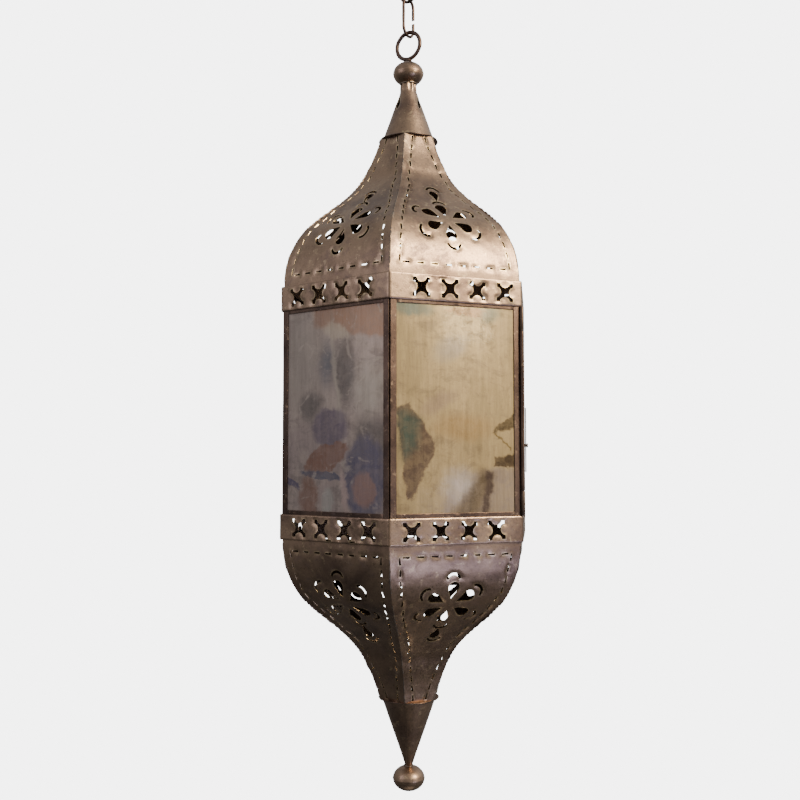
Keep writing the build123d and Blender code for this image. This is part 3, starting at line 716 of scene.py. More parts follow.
def band_bend(tree, given, across, way, offset, wave):
    section, climb = sample(tree, given["Curve"], way)
    inwards, _, level = tree.xyz(section)
    run, _, rise = tree.xyz(climb)
    place, forward = sample(tree, given["Path"], across + path_length / 2)
    x, y, _ = tree.xyz(place)
    forward_x, forward_y, _ = tree.xyz(forward)
    flat = tree.remap(rise, 0.9, 1.0)
    deep = offset + wave * flat
    out = inwards + rise * deep
    return tree.point(x + forward_y * out, y - forward_x * out, given["Level"] + level - run * deep)


def band_marks(shifts, slots):
    """X cuts, four on a side, each row off the middle as the hand left it, and a few stray chisel cuts."""
    marks = []
    for k, shift in enumerate(shifts):
        turns = (k - 3) % 6
        middle = turns * path_length / 6 - path_length / 2
        for j in range(4):
            x = middle + (shift + (j - 1.5) * CUT_PITCH) * MM
            if x < -path_length / 2 + 10 * MM:
                x += path_length
            marks.append((x, section_middle, CROSS, 0.0))
        if k in slots:
            slot_level = section_middle + (band_height / 2 - 2.0 * MM)
            marks += [(middle + x * MM, slot_level, DASH, 0.0) for x in slots[k]]
    return marks


band_tree = pierced_sheet("band_sheet", lambda tree, given, way: path_length / 2, band_bend,
                          [("Path", "Object", None), ("Level", "Float", 0.0)])
upper_shifts, lower_shifts = [6.8, 1.5, -2.0, 2.5, -1.0, -3.7], [-3.0, 2.0, 1.0, -2.5, 1.5, 0.5]
for place, shifts, slots in (("upper", upper_shifts, {}), ("lower", lower_shifts, {5: (-4, 25)})):
    strip = run_group(band_tree, plan_mesh("band_plan", band_marks(shifts, slots)), f"{place}_band_sheet",
                      Curve=section_curve, Path=path_curve, Punches=punches, Length=section_length,
                      Level=0.0, Columns=620, Rows=34, Wobble=0.35 * MM, Seed=21 if place == "upper" else 34,
                      Material=sheet_bronze)
    if place == "upper":
        strip.data.transform(Matrix.Translation((0, 0, window_top)))
    else:
        strip.data.transform(Matrix.Translation((0, 0, window_bottom)) @ Matrix.Diagonal((1, 1, -1, 1)))
        strip.data.flip_normals()
    keep(strip, "lantern", "aged_bronze_sheet", f"{place}_band")

# %% [markdown]
# ## Cones
#
# Each cone is rolled from a flat sheet whose edge laps over its start. The top one has three lens-shaped
# vents and a neck crimped in flutes to fit the ball. The lap is a small step outwards at one edge of the
# sheet, and the crimps are a wave round the last centimetre.

# %% Two rolled cones
LAP = 3.0 * MM
upper_disc_top, lower_disc_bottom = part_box("top_disc")[1].z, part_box("bottom_disc")[0].z
top_cone_low, top_cone_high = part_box("top_cone")
bottom_cone_low, bottom_cone_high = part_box("bottom_cone")
cone_base = bottom_cone_high.x
NECK, NECK_LENGTH, NECK_FLARE, TIP = 7.7 * MM, 9.0 * MM, 0.9 * MM, 3.5 * MM
VENT_DROP, FLUTES = 21.5 * MM, 9


def cone_half_width(tree, given, way):
    radius, _, _ = tree.xyz(sample(tree, given["Curve"], way)[0])
    return radius * pi + LAP / 2


def cone_bend(tree, given, across, way, offset, wave):
    position, tangent = sample(tree, given["Curve"], way)
    radius, _, level = tree.xyz(position)
    run, _, rise = tree.xyz(tangent)
    turn = across / radius
    from_edge = radius * pi + LAP / 2 - across
    lap = tree.remap(from_edge, LAP * 0.9, LAP * 1.5, 1.0, 0.0) * SHEET * 1.15
    near_neck = tree.remap(given["Length"] - way, 3 * MM, 13 * MM, 1.0, 0.0)
    flutes = tree.math("COSINE", turn * float(FLUTES)) * near_neck
    fade = tree.remap(way, 0.5 * MM, 8 * MM)
    deep = offset + wave * fade + lap + flutes * given["Crimp"]
    out = radius + rise * deep
    turn = turn + given["Start"]
    return tree.point(out * tree.math("COSINE", turn), out * tree.math("SINE", turn), level - run * deep)


cone_tree = pierced_sheet("cone_sheet", cone_half_width, cone_bend,
                          [("Start", "Float", 0.0), ("Crimp", "Float", 0.0)])
top_profile = [(cone_base, 0, top_cone_low.z), (NECK + NECK_FLARE, 0, top_cone_high.z - NECK_LENGTH),
               (NECK, 0, top_cone_high.z)]
bottom_profile = [(TIP, 0, bottom_cone_low.z), (cone_base, 0, bottom_cone_high.z)]
top_curve = curve_object("top_cone_profile", top_profile)
bottom_curve = curve_object("bottom_cone_profile", bottom_profile)
top_length, bottom_length = curve_length(top_profile), curve_length(bottom_profile)
top_start, bottom_start = radians(-90), radians(95)
side_step = (cone_base - NECK - NECK_FLARE) / (top_cone_high.z - NECK_LENGTH - top_cone_low.z)
vent_rise = top_cone_high.z - VENT_DROP - top_cone_low.z
vent_way = vent_rise * math.hypot(1, side_step)
vent_radius = cone_base - vent_rise * side_step
vents = []
for k in range(3):
    turn = (radians(-22 + 120 * k) - top_start + pi) % (2 * pi) - pi
    vents.append((turn * vent_radius, vent_way, LENS, 0.0))
blank = [(0.0, -0.05, DASH, 0.0)]          # one blow that misses the sheet
for node, marks, curve, length, start, crimp, seed in (
        ("top_cone", vents, top_curve, top_length, top_start, 0.55 * MM, 5),
        ("bottom_cone", blank, bottom_curve, bottom_length, bottom_start, 0.0, 9)):
    roll = run_group(cone_tree, plan_mesh(node + "_plan", marks), node + "_sheet", Curve=curve,
                     Punches=punches, Length=length, Columns=150, Rows=60, Start=start,
                     Crimp=crimp, Seed=seed, Material=sheet_bronze)
    keep(roll, "lantern", "aged_bronze_sheet", node)

# %% [markdown]
# ## Balls and discs
#
# A ball is two pressed cups, soldered rim to rim: turned on a lathe of points, a little out of round, with
# a low ridge where the cups meet. The discs are sheared by hand, so their rims wander and curl.

# %% Turned pieces
def lathe(name, profile, segments, material, dent=0.0, scale=60.0):
    """Turn a profile of (radius, level) round the axis; first and last points may lie on the axis."""
    points, faces, rings = [], [], []
    for radius, level in profile:
        if radius < 1e-6:
            rings.append([len(points)])
            points.append(Vector((0, 0, level)))
            continue
        ring = []
        for k in range(segments):
            turn = 2 * pi * k / segments
            place = Vector((radius * cos(turn), radius * sin(turn), level))
            push = dent * field.noise(place * scale + Vector((7.1, 3.3, 1.7)))
            ring.append(len(points))
            points.append(place + Vector((cos(turn), sin(turn), 0)) * push)
        rings.append(ring)
    for low, high in zip(rings, rings[1:]):
        for k in range(segments):
            after = (k + 1) % segments
            if len(low) == 1:
                faces.append((low[0], high[after], high[k]))
            elif len(high) == 1:
                faces.append((low[k], low[after], high[0]))
            else:
                faces.append((low[k], low[after], high[after], high[k]))
    if len(rings[0]) > 1 and len(rings[-1]) > 1:
        low, high = rings[-1], rings[0]
        faces += [(low[k], low[(k + 1) % segments], high[(k + 1) % segments], high[k])
                  for k in range(segments)]
    made = mesh_object(name, points, faces, material, smooth=True)
    outwards(made.data)
    return made


for place in ("top", "bottom"):
    low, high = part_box(f"{place}_ball_lower")[0].z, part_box(f"{place}_ball_upper")[1].z
    middle, rise, radius = (low + high) / 2, (high - low) / 2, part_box(f"{place}_ball_upper")[1].x
    profile = [(0, low)]
    for k in range(1, 48):
        turn = -pi / 2 + pi * k / 48
        ridge = 0.25 * MM * math.exp(-(turn / 0.05) ** 2)
        profile.append(((radius - 0.3 * MM) * cos(turn) + ridge, middle + rise * sin(turn)))
    profile.append((0, high))
    ball = lathe(f"{place}_ball", profile, 96, sheet_bronze, dent=0.35 * MM, scale=90.0)
    keep(ball, "lantern", "aged_bronze_sheet", f"{place}_ball_lower", f"{place}_ball_upper")

for node in ("top_disc", "bottom_disc"):
    low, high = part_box(node)
    radii = (21 * MM, 26 * MM, 29 * MM, high.x - 0.7 * MM)
    profile = [(radius, low.z) for radius in radii]
    profile += [(high.x - 0.35 * MM, (low.z + high.z) / 2)]
    profile += [(radius, high.z) for radius in reversed(radii)]
    disc = lathe(node + "_sheared", profile, 180, frame_bronze, dent=0.55 * MM, scale=110.0)
    for vertex in disc.data.vertices:
        x, y, z = vertex.co
        outer = max(0.0, (math.hypot(x, y) - 28 * MM) / (3 * MM))
        vertex.co.z += outer * 0.55 * MM * field.noise(Vector((x, y, 0)) * 95 + Vector((2, 9, 4)))
    keep(disc, "lantern", "aged_bronze_sheet", node)
print("balls and discs turned")

# %% [markdown]
# ## Wire: hook, chain and ring
#
# The wire pieces keep the CAD shapes. A copy is merged and remeshed finely, so its joints melt together as
# solder does, then smoothed and pushed a hair in and out, because wire bent by hand is never quite round.

# %% Wire pieces
def merged_copy(node, name):
    """Copy of a CAD node with its loose triangles joined."""
    mesh = frame["nodes"][node].data.copy()
    mesh.name = name
    mesh.materials.clear()
    for attribute in [a for a in mesh.attributes if a.name.startswith("custom")]:
        mesh.attributes.remove(attribute)
    with editing(mesh) as work:
        bmesh.ops.remove_doubles(work, verts=work.verts, dist=0.004 * MM)
    return linked(name, mesh)


def melted(node, body, voxel, uneven, scale=140.0):
    piece = merged_copy(node, node + "_wire")
    remesh = piece.modifiers.new("remesh", "REMESH")
    remesh.mode, remesh.voxel_size, remesh.adaptivity = "VOXEL", voxel, 0.0
    smooth = piece.modifiers.new("smooth", "SMOOTH")
    smooth.factor, smooth.iterations = 0.5, 6
    apply_modifiers(piece)
    for vertex in piece.data.vertices:
        push = uneven * field.noise(vertex.co * scale + Vector((3.1, 8.2, 5.5)))
        vertex.co += vertex.normal * push
    piece.data.materials.append(dark_wire)
    piece.data.shade_smooth()
    keep(piece, body, "dark_iron", node)


for link in (1, 2, 3):
    melted(f"chain_link_{link}", f"chain_link_{link}", 0.4 * MM, 0.16 * MM)
melted("ceiling_hook", "ceiling_hook", 0.55 * MM, 0.16 * MM)
melted("hanging_eye", "lantern", 0.42 * MM, 0.28 * MM)
print("wire pieces made")

# %% [markdown]
# ## Solder
#
# Every seam is run with soft solder: a thin uneven bead. One tree lays a bead along any path: the path is
# cut into short steps, each gets its own radius, and a circle is swept along it.

# %% Solder beads
def bead_tree():
    tree, given = node_group("solder_bead", [
        ("Radius", "Float", 0.9 * MM), ("Step", "Float", 1.6 * MM),
        ("Seed", "Int", 0), ("Material", "Material", None)])
    path = tree.node("GeometryNodeMeshToCurve", _0=given["Geometry"])
    path = tree.node("GeometryNodeResampleCurve", {"mode": "LENGTH"}, Curve=path, Length=given["Step"])
    place = tree.node("GeometryNodeInputPosition")
    shifted = tree.vector("ADD", place, tree.point(given["Seed"] * 0.31, 0.0, 0.0))
    swell = tree.remap(noise(tree, shifted, 160.0, 2.0), 0.3, 0.7, 0.55, 1.25, smooth=False)
    sway = tree.vector("SUBTRACT", tree.node("ShaderNodeTexNoise", Vector=shifted, Scale=90.0, Detail=1.0,
                                             out="Color"), (0.5, 0.5, 0.5))
    sway = tree.vector("MULTIPLY", sway, (0.9 * MM,) * 3)
    path = tree.node("GeometryNodeSetPosition", Geometry=path, Offset=sway)
    ring = tree.node("GeometryNodeCurvePrimitiveCircle", Resolution=8, Radius=given["Radius"])
    bead = tree.node("GeometryNodeCurveToMesh", Curve=path, Profile_Curve=ring, Scale=swell, Fill_Caps=True)
    bead = tree.node("GeometryNodeSetShadeSmooth", Geometry=bead, Shade_Smooth=True)
    close_group(tree, bead, given["Material"])
    return tree.data


def path_mesh(paths):
    """Mesh of edges only, from lists of points; a path whose last point is its first is closed."""
    points, edges = [], []
    for path in paths:
        start, closed = len(points), (Vector(path[0]) - Vector(path[-1])).length < 1e-7
        path = path[:-1] if closed else path
        points += [tuple(p) for p in path]
        edges += [(start + k, start + k + 1) for k in range(len(path) - 1)]
        if closed:
            edges.append((start + len(path) - 1, start))
    mesh = bpy.data.meshes.new("path")
    mesh.from_pydata(points, edges, [])
    return mesh


def circle_path(radius, level, count=72):
    turns = [2 * pi * k / count for k in range(count + 1)]
    return [(radius * cos(turn), radius * sin(turn), level) for turn in turns]


solder_tree = bead_tree()
ridges = []
for angle in post_angles:
    corner = [(x / cos(HALF_SIDE) - 0.5 * MM, z) for x, z in outer_edge if z > dome_foot + 1.5 * MM]
    ridges.append([(out * cos(angle), out * sin(angle), z) for out, z in corner])
flipped = [[(x, y, 2 * middle_z - z) for x, y, z in path] for path in ridges]
collars = [circle_path(cone_base + 0.1 * MM, upper_disc_top + 0.5 * MM),
           circle_path(cone_base + 0.1 * MM, lower_disc_bottom - 0.5 * MM),
           circle_path(NECK + 0.5 * MM, top_cone_high.z + 0.3 * MM),
           circle_path(TIP + 0.6 * MM, bottom_cone_low.z - 0.1 * MM, 36)]
for label, paths, radius, seed in (("upper_seams", ridges, 0.85 * MM, 1),
                                   ("lower_seams", flipped, 0.85 * MM, 2),
                                   ("soldered_collars", collars, 0.9 * MM, 3)):
    bead = run_group(solder_tree, path_mesh(paths), label, Radius=radius, Seed=seed, Material=solder)
    outwards(bead.data)
    keep(bead, "lantern", "aged_bronze_sheet")

# %% [markdown]
# A few crumbs of solder were left where a band meets the corner post. They are small pebbles scattered on
# points, each with its own size and turn.

# %% Solder crumbs
def crumb_tree():
    tree, given = node_group("solder_crumbs", [
        ("Size", "Float", 0.8 * MM), ("Seed", "Int", 0),
        ("Material", "Material", None)])
    pebble = tree.node("GeometryNodeMeshIcoSphere", Radius=given["Size"], Subdivisions=2)
    place = tree.node("GeometryNodeInputPosition")
    rough = noise(tree, place, 1400.0, 1.0) - 0.5
    pebble = tree.node("GeometryNodeSetPosition", Geometry=pebble,
                       Offset=tree.vector("MULTIPLY", place, tree.point(rough, rough, rough)))
    grow = tree.random(0.35, 1.2, given["Seed"])
    turn = tree.node("FunctionNodeRandomValue", {"data_type": "FLOAT_VECTOR"}, _0=(0.0,) * 3, _1=(6.0,) * 3,
                     _8=given["Seed"], out=0)
    spread = tree.node("GeometryNodeInstanceOnPoints", Points=given["Geometry"], Instance=pebble, Rotation=turn,
                       Scale=tree.point(grow, grow, grow * 0.7))
    real = tree.node("GeometryNodeRealizeInstances", Geometry=spread)
    real = tree.node("GeometryNodeSetShadeSmooth", Geometry=real, Shade_Smooth=True)
    close_group(tree, real, given["Material"])
    return tree.data


draw = random.Random(11)


def on_side(angle, along, out, level):
    """Point on a side of the lantern: along the side, its distance from the axis, and level."""
    return Vector((out * cos(angle) - along * sin(angle), out * sin(angle) + along * cos(angle), level))


crumbs = [on_side(side_angles[0], -side_length / 2 + draw.uniform(1, 26) * MM,
                  band_apothem - draw.uniform(0.9, 2.0) * MM, window_bottom + draw.uniform(-1.2, 0.4) * MM)
          for _ in range(34)]
crumbs += [on_side(side_angles[0], -side_length / 2 + draw.uniform(0, 9) * MM,
                   band_apothem - draw.uniform(0.8, 1.1) * MM, window_bottom + draw.uniform(-5.0, 0.2) * MM)
           for _ in range(16)]
crumb_points = bpy.data.meshes.new("crumb_points")
crumb_points.from_pydata([tuple(p) for p in crumbs], [], [])
scattered = run_group(crumb_tree(), crumb_points, "solder_crumbs", Size=0.85 * MM, Seed=4, Material=solder)
keep(scattered, "lantern", "aged_bronze_sheet")

# %% [markdown]
# ## Folded frame, door and fittings
#
# Posts, rails and the door frame are folded strip and small bar. They keep the CAD shapes, with their edges
# rounded by a bevel and their faces cut finely enough to be a little uneven, so that light breaks on them
# as on real folded sheet. A flat face that is perfectly flat gives a dead reflection.

# %% Folded pieces
def softened(node, body, slot, finish, width, uneven=0.0, cell=6 * MM, scale=45.0):
    """Folded piece: edges rounded by width, faces cut to cells and pushed in and out."""
    piece = merged_copy(node, node + "_folded")
    with editing(piece.data) as work:
        bmesh.ops.dissolve_limit(work, angle_limit=radians(2), verts=work.verts, edges=work.edges)
    bevel = piece.modifiers.new("bevel", "BEVEL")
    bevel.width, bevel.segments, bevel.limit_method = width, 2, "ANGLE"
    bevel.angle_limit, bevel.use_clamp_overlap, bevel.harden_normals = radians(32), True, False
    apply_modifiers(piece)
    mesh = piece.data
    if uneven:
        with editing(mesh) as work:
            bmesh.ops.triangulate(work, faces=work.faces)
            for _ in range(5):
                long = [e for e in work.edges if e.calc_length() > cell]
                if not long:
                    break
                bmesh.ops.subdivide_edges(work, edges=long, cuts=1)
                bmesh.ops.triangulate(work, faces=[f for f in work.faces if len(f.verts) > 3])
            for vertex in work.verts:
                out = Vector((vertex.co.x, vertex.co.y, 0)).normalized()
                vertex.co += out * uneven * field.noise(vertex.co * scale)
    mesh.materials.clear()
    mesh.materials.append(finish)
    mesh.shade_smooth()
    mesh.set_sharp_from_angle(angle=radians(40))
    keep(piece, body, slot, node)


for k in range(6):
    softened(f"corner_post_{k + 1}", "lantern", "bronze_frame", frame_bronze, 0.22 * MM, 0.22 * MM)
for node in ("upper_rails", "lower_rails"):
    softened(node, "lantern", "bronze_frame", frame_bronze, 0.18 * MM, 0.18 * MM)
for node in ("door_hinge_stile", "door_latch_stile", "door_top_rail", "door_bottom_rail"):
    softened(node, "door", "bronze_frame", frame_bronze, 0.18 * MM, 0.12 * MM)
for node in ("hinge_knuckles", "hinge_pin", "latch_spacer", "latch_rivet"):
    body = next(name for name, nodes in frame["record"]["behaviour"]["bodies"].items() if node in nodes)
    softened(node, body, "dark_fittings", dull_fitting, 0.15 * MM)
softened("latch_bar", "turn_button", "dark_fittings", dull_fitting, 0.3 * MM)
# the floor plate and candle cup take the darker inner bronze, painted shade of the lantern's inside
softened("floor_plate", "lantern", "inner_sheet", inner_sheet, 0.2 * MM, 0.3 * MM, cell=12 * MM)
softened("candle_cup", "lantern", "inner_sheet", inner_sheet, 0.2 * MM, 0.15 * MM)
print("folded pieces made")

# %% [markdown]
# ## Antique mirror panes
#
# The panes are window glass, silvered behind and then eaten with acid, so each is a cloudy picture of its
# own. The clouds are patches laid on the pane's own map, from 0 to 1 across and up, with edges that a noise
# frays. Under them lies the ground, brushed with thin upright streaks, and over them lie veins, which are
# the level lines of a slow noise, and pin-sized pits. A clear coat stands for the glass in front.

# %% Mirror glass
PANE_SHAPE = 1.6            # height over width


def tint(red, green, blue):
    """Colour from its everyday 0-255 values."""
    return tuple((part / 255) ** 2.2 for part in (red, green, blue))


def patch_mask(tree, spot, patch):
    """1 inside a patch of the pane, fading over its soft edge."""
    x, y = spot
    soft, strength = patch["soft"], patch["strength"]
    if "outline" in patch:
        inside = None
        corners = [(u, v * PANE_SHAPE) for u, v in patch["outline"]]
        for (ax, ay), (bx, by) in zip(corners, corners[1:] + corners[:1]):
            length = math.hypot(bx - ax, by - ay)
            ex, ey = (bx - ax) / length, (by - ay) / length
            gap = (y - ay) * ex - (x - ax) * ey
            inside = gap if inside is None else tree.math("MINIMUM", inside, gap)
        return tree.remap(inside, -soft, soft, 0.0, strength)
    (u, v), (wide, tall), tilt = patch["centre"], patch["radii"], radians(patch["tilt"])
    across, up = x - u, y - v * PANE_SHAPE
    first = (across * cos(tilt) + up * sin(tilt)) / wide
    second = (up * cos(tilt) - across * sin(tilt)) / (tall * PANE_SHAPE)
    reach = tree.math("SQRT", first * first + second * second)
    return tree.remap(reach, 1.0 - soft / wide, 1.0 + soft / wide, strength, 0.0)


def oval(u, v, wide, tall, soft, colour, tilt=0, strength=1.0):
    """Patch from its centre on the pane, its two radii and its tilt in degrees."""
    return {"centre": (u, v), "radii": (wide, tall), "tilt": tilt, "soft": soft, "colour": tint(*colour),
            "strength": strength}


def shape(corners, soft, colour):
    """Patch from the corners of its outline, counter-clockwise."""
    return {"outline": corners, "soft": soft, "colour": tint(*colour), "strength": 1.0}


def mirror_glass(name, ground, cloud, shade, patches, seed, vein=0.5, fray=0.09, strength=0.9, depth=1.0):
    """Antiqued mirror: ground, clouds and shade, then its own patches, veins, pits and streaks, and painted
    shade along the frame.
    """
    made, tree, shader = material(name)
    u, v, _ = tree.xyz(tree.node("ShaderNodeTexCoord", out="UV"))
    y = v * PANE_SHAPE
    where = tree.point(u, y, float(seed) * 3.7)
    wander = tree.vector("SUBTRACT", tree.node("ShaderNodeTexNoise", Vector=where, Scale=7.0, Detail=8.0,
                                               Roughness=0.7, out="Color"), (0.5, 0.5, 0.5))
    shift_x, shift_y, _ = tree.xyz(wander)
    spot = (u + shift_x * fray, y + shift_y * fray)
    streaks = noise(tree, tree.vector("MULTIPLY", where, (34.0, 3.0, 1.0)), 1.0, 5.0, 0.7)
    haze = noise(tree, where, 3.2, 6.0, 0.62, 0.6)
    mottle = noise(tree, where, 15.0, 5.0, 0.7, 0.5)
    smoke = noise(tree, tree.vector("MULTIPLY", where, (1.0, 1.7, 1.0)), 5.5, 7.0, 0.66, 0.9)
    colour = blend(tree, tree.remap(haze, 0.36, 0.66), ground, cloud)
    colour = blend(tree, tree.remap(smoke, 0.50, 0.68) * 0.55, colour, shade)
    colour = blend(tree, tree.remap(mottle, 0.50, 0.74) * 0.5, colour, shade)
    for patch in patches:
        worn = patch_mask(tree, spot, patch) * strength * tree.remap(mottle, 0.34, 0.62, 1.0, 0.72)
        colour = blend(tree, worn, colour, patch["colour"])
    lines = tree.math("ABSOLUTE", noise(tree, where, 2.6, 2.0, 0.5, 1.2) - 0.5)
    veins = tree.remap(lines, 0.0, 0.030, 1.0, 0.0) * tree.remap(mottle, 0.44, 0.64) * vein
    colour = blend(tree, veins, colour, tint(182, 168, 156))
    pits = noise(tree, where, 120.0, 3.0, 0.7)
    colour = blend(tree, tree.remap(pits, 0.66, 0.72) * 0.6, colour, tint(205, 196, 180))
    colour = blend(tree, tree.remap(pits, 0.36, 0.30) * 0.5, colour, tint(60, 52, 46))
    light = tree.remap(streaks, 0.30, 0.70, 0.82, 1.12, smooth=False)
    light = tree.node("ShaderNodeCombineColor", Red=light, Green=light, Blue=light)
    colour = blend(tree, 1.0, colour, light, "MULTIPLY")
    # painted shade: the pane darkens towards the frame, where the frame shadows the glass
    edge_u = tree.math("MINIMUM", u, 1.0 - u)
    edge_v = tree.math("MINIMUM", y, PANE_SHAPE - y)
    edge = tree.math("MINIMUM", edge_u, edge_v) + (mottle - 0.5) * 0.03
    colour = blend(tree, tree.remap(edge, 0.0, 0.035, 0.6, 0.0), colour, tint(88, 72, 60))
    colour = tree.node("ShaderNodeGamma", Color=colour, Gamma=depth, out="Color")
    rough = 0.32 + tree.remap(mottle, 0.40, 0.70, 0.0, 0.25) + tree.remap(pits, 0.3, 0.7, -0.05, 0.08)
    waves = noise(tree, where, 4.0, 2.0, 0.5)
    set_shader(tree, shader, Base_Color=colour, Metallic=0.12, Roughness=rough, Coat_Weight=0.06,
               Coat_Roughness=0.08, Specular_IOR_Level=0.15,
               Normal=bump(tree, waves * 0.6 + mottle * 0.05, 1.2 * MM, 0.25))
    return made


gold = tint(166, 149, 116)
right_patches = [
    oval(0.14, 0.95, 0.16, 0.035, 0.06, (118, 128, 120)),
    oval(0.62, 0.945, 0.2, 0.018, 0.04, (160, 128, 98), strength=0.8),
    oval(0.78, 0.94, 0.07, 0.035, 0.05, (132, 134, 118)),
    oval(0.46, 0.78, 0.13, 0.05, 0.08, (150, 142, 132), tilt=25, strength=0.8),
    oval(0.36, 0.53, 0.15, 0.035, 0.08, (150, 132, 116), tilt=30, strength=0.75),
    oval(0.55, 0.42, 0.22, 0.06, 0.12, (158, 134, 96), strength=0.8),
    shape([(0.0, 0.5), (0.077, 0.25), (0.115, 0.1), (0.15, 0.105), (0.31, 0.28), (0.325, 0.345),
           (0.22, 0.46), (0.137, 0.53)], 0.012, (98, 84, 76)),
    shape([(0.02, 0.48), (0.075, 0.28), (0.19, 0.33), (0.21, 0.45), (0.12, 0.5)], 0.06, (86, 98, 90)),
    shape([(0.79, 0.4), (1.0, 0.42), (1.0, 0.505)], 0.01, (78, 68, 52)),
    shape([(0.8, 0.392), (0.95, 0.31), (0.955, 0.317), (0.805, 0.402)], 0.006, (112, 98, 66)),
    shape([(0.36, 0.0), (1.0, 0.0), (1.0, 0.25), (0.83, 0.23), (0.5, 0.235)], 0.03, (146, 134, 124)),
    oval(0.53, 0.15, 0.13, 0.07, 0.09, (184, 174, 166)),
    shape([(0.43, 0.0), (0.66, 0.0), (0.8, 0.2), (0.7, 0.225)], 0.05, (104, 92, 72)),
    shape([(0.7, 0.0), (0.76, 0.0), (0.8, 0.21), (0.74, 0.21)], 0.02, (84, 72, 66)),
    shape([(0.81, 0.234), (1.0, 0.236), (1.0, 0.292), (0.81, 0.292)], 0.01, (72, 60, 50)),
]
left_patches = [
    shape([(0.29, 0.9), (0.66, 0.85), (1.0, 0.82), (1.0, 1.0), (0.27, 1.0)], 0.03, (150, 118, 99)),
    oval(0.12, 0.74, 0.22, 0.2, 0.12, (152, 140, 130), strength=0.8),
    oval(0.6, 0.68, 0.1, 0.16, 0.05, (104, 96, 92)),
    oval(0.42, 0.72, 0.07, 0.09, 0.06, (96, 98, 104), strength=0.8),
    oval(0.84, 0.58, 0.15, 0.12, 0.09, (158, 148, 136), strength=0.8),
    oval(0.86, 0.36, 0.18, 0.1, 0.07, (106, 98, 94)),
    oval(0.26, 0.52, 0.12, 0.06, 0.06, (104, 96, 92), tilt=30),
    oval(0.52, 0.62, 0.018, 0.24, 0.02, (168, 156, 142), tilt=6, strength=0.8),
    oval(0.52, 0.865, 0.13, 0.035, 0.04, (176, 160, 142), tilt=-15, strength=0.8),
    oval(0.46, 0.42, 0.18, 0.09, 0.03, (112, 100, 108), tilt=10),
    oval(0.42, 0.28, 0.22, 0.06, 0.015, (130, 100, 88), tilt=22),
    oval(0.8, 0.19, 0.2, 0.19, 0.03, (100, 94, 108)),
    oval(0.79, 0.14, 0.11, 0.075, 0.02, (146, 118, 110)),
    oval(0.38, 0.2, 0.2, 0.022, 0.03, (96, 94, 106), tilt=-4),
    oval(0.25, 0.09, 0.09, 0.1, 0.03, (134, 106, 94)),
    oval(0.44, 0.07, 0.06, 0.07, 0.02, (160, 154, 146)),
    oval(0.6, 0.13, 0.028, 0.09, 0.015, (176, 152, 144), tilt=8),
    oval(0.05, 0.17, 0.12, 0.015, 0.02, (92, 84, 104), tilt=-30),
]


def loose_patches(seed):
    """Clouds for a pane that has no pattern of its own."""
    pick = random.Random(seed)
    tones = [(150, 140, 128), (104, 94, 88), (92, 94, 112), (150, 118, 98), (176, 162, 138), (84, 90, 80)]
    return [oval(pick.uniform(0.05, 0.95), pick.uniform(0.05, 0.95), pick.uniform(0.06, 0.22),
                 pick.uniform(0.02, 0.10), tilt=pick.uniform(-60, 60), soft=pick.uniform(0.02, 0.10),
                 colour=pick.choice(tones), strength=pick.uniform(0.5, 0.9))
            for _ in range(12)]


mauve, warm_grey = tint(152, 136, 130), tint(164, 148, 138)
pane_glass = {
    "glass_pane_1": mirror_glass("gold_pane", gold, tint(176, 158, 124), tint(136, 122, 100), right_patches, 1,
                                 vein=0.0, fray=0.12, depth=1.22),
    "glass_pane_5": mirror_glass("mauve_pane", mauve, warm_grey, tint(118, 106, 102), left_patches, 5, vein=0.5,
                                 fray=0.14, strength=1.0, depth=0.94),
}
for k, node in enumerate(("glass_pane_2", "glass_pane_3", "glass_pane_4", "door_glass")):
    base = (mauve, gold)[k % 2]
    pane_glass[node] = mirror_glass(f"clouded_pane_{k + 1}", base, warm_grey, tint(122, 110, 98),
                                    loose_patches(40 + k), 20 + k, vein=0.5)

# %% [markdown]
# A pane is a thin slab with ground edges and its own map: the side's direction is across, the level is up.

# %% Panes
pane_sides = {"glass_pane_1": 0, "glass_pane_2": 2, "glass_pane_3": 3, "glass_pane_4": 4, "glass_pane_5": 5,
              "door_glass": 1}
for node, side in pane_sides.items():
    pane = merged_copy(node, node + "_mirror")
    way = Vector((-sin(side_angles[side]), cos(side_angles[side]), 0))
    with editing(pane.data) as work:
        bmesh.ops.dissolve_limit(work, angle_limit=radians(2), verts=work.verts, edges=work.edges)
        bmesh.ops.bevel(work, geom=list(work.edges), offset=0.35 * MM, segments=2, affect="EDGES",
                        profile=0.5)
        along, up = [v.co.dot(way) for v in work.verts], [v.co.z for v in work.verts]
        left, low = min(along), min(up)
        width, height = max(along) - left, max(up) - low
        layer = work.loops.layers.uv.new("pane")
        for face in work.faces:
            face.smooth = True
            for corner in face.loops:
                place = corner.vert.co
                corner[layer].uv = ((place.dot(way) - left) / width, (place.z - low) / height)
    pane.data.set_sharp_from_angle(angle=radians(30))
    pane.data.materials.append(pane_glass[node])
    keep(pane, "door" if node == "door_glass" else "lantern", "antique_mirror", node)
print("panes set:", list(pane_sides))

# %% [markdown]
# ## Camera, light and floor
#
# The lantern hangs in front of white, seen from just below its middle. A warm lamp high on the right does
# most of the work. The room is a soft gradient that the metal mirrors, and only the camera sees it white.
# The floor is a pale disc, well below the lantern.

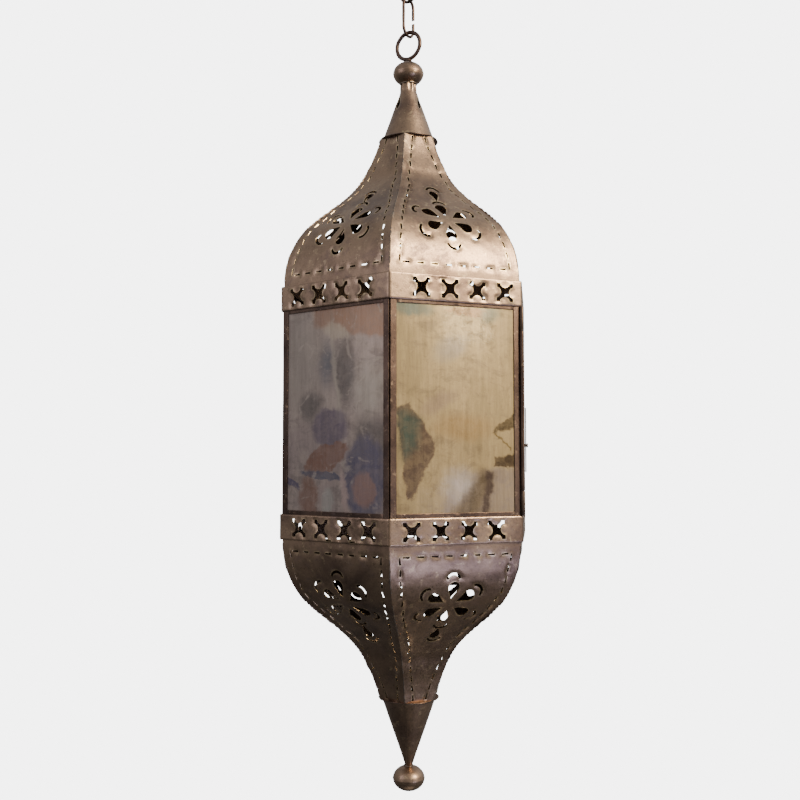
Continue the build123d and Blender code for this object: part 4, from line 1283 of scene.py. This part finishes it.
# %% Camera
camera_data = bpy.data.cameras.new("camera")
camera_data.lens, camera_data.sensor_width = 44.37, 36.0
camera = linked("camera", camera_data)
heading, distance = radians(7.4), 1.012
camera.location = (distance * sin(heading), -distance * cos(heading), -0.58985)
aim = heading + radians(0.5)
look = Vector((-sin(aim), cos(aim), tan(radians(3.48))))
camera.rotation_euler = look.to_track_quat("-Z", "Y").to_euler()
bpy.context.scene.camera = camera

# %% Light
WHITE = 5.5                      # how bright the camera sees the room
world = bpy.data.worlds.new("studio")
bpy.context.scene.world = world
world.use_nodes = True
sky = Tree(world.node_tree)
background = next(n for n in world.node_tree.nodes if n.type == "BACKGROUND")
seen = sky.node("ShaderNodeLightPath", out="Is Camera Ray")
east, _, height = sky.xyz(sky.node("ShaderNodeTexCoord", out="Generated"))
window = sky.remap(east, -0.2, 0.9, 0.0, 0.55) * sky.remap(height, -0.5, 0.4, 0.15, 1.0)
soft = sky.remap(height, -0.9, 0.9, 0.08, 0.50) + window
strength = soft + seen * (WHITE - soft)
sky.links.new(strength.socket, background.inputs["Strength"])
background.inputs["Color"].default_value = (1.0, 1.0, 1.0, 1.0)


def area(name, place, target, size, power, colour):
    """Rectangular lamp that faces a target."""
    data = bpy.data.lights.new(name, "AREA")
    data.shape, data.size, data.size_y = "RECTANGLE", *size
    data.energy, data.color = power, colour
    lamp = linked(name, data)
    lamp.location = place
    lamp.rotation_euler = (Vector(target) - Vector(place)).to_track_quat("-Z", "Y").to_euler()


area("warm_key", (1.6, -0.9, 0.55), (0, 0, -0.35), (0.7, 0.9), 78, (1.0, 0.83, 0.57))
area("low_glow", (1.2, -1.0, -1.30), (0, 0, -0.75), (0.6, 0.5), 4.4, (0.64, 0.66, 1.0))
area("pale_fill", (-1.5, -1.3, 0.1), (0, 0, -0.4), (1.0, 1.2), 7.0, (0.96, 0.90, 1.0))

# %% Floor
floor = lathe("floor", [(0, -2.505), (0.6, -2.505), (0.6, -2.5), (0, -2.5)], 96, None)
floor.data.materials.append(aged_metal("pale_floor", (0.72, 0.71, 0.69), (0.78, 0.77, 0.75), (0.84, 0.83, 0.81),
                                       (0.74, 0.73, 0.71), roughness=0.6))

# %% [markdown]
# ## Put the tools away

# %% Put the tools away
for leftover in [o for o in bpy.data.objects if o.type == "CURVE"] + list(punches.objects):
    bpy.data.objects.remove(leftover)
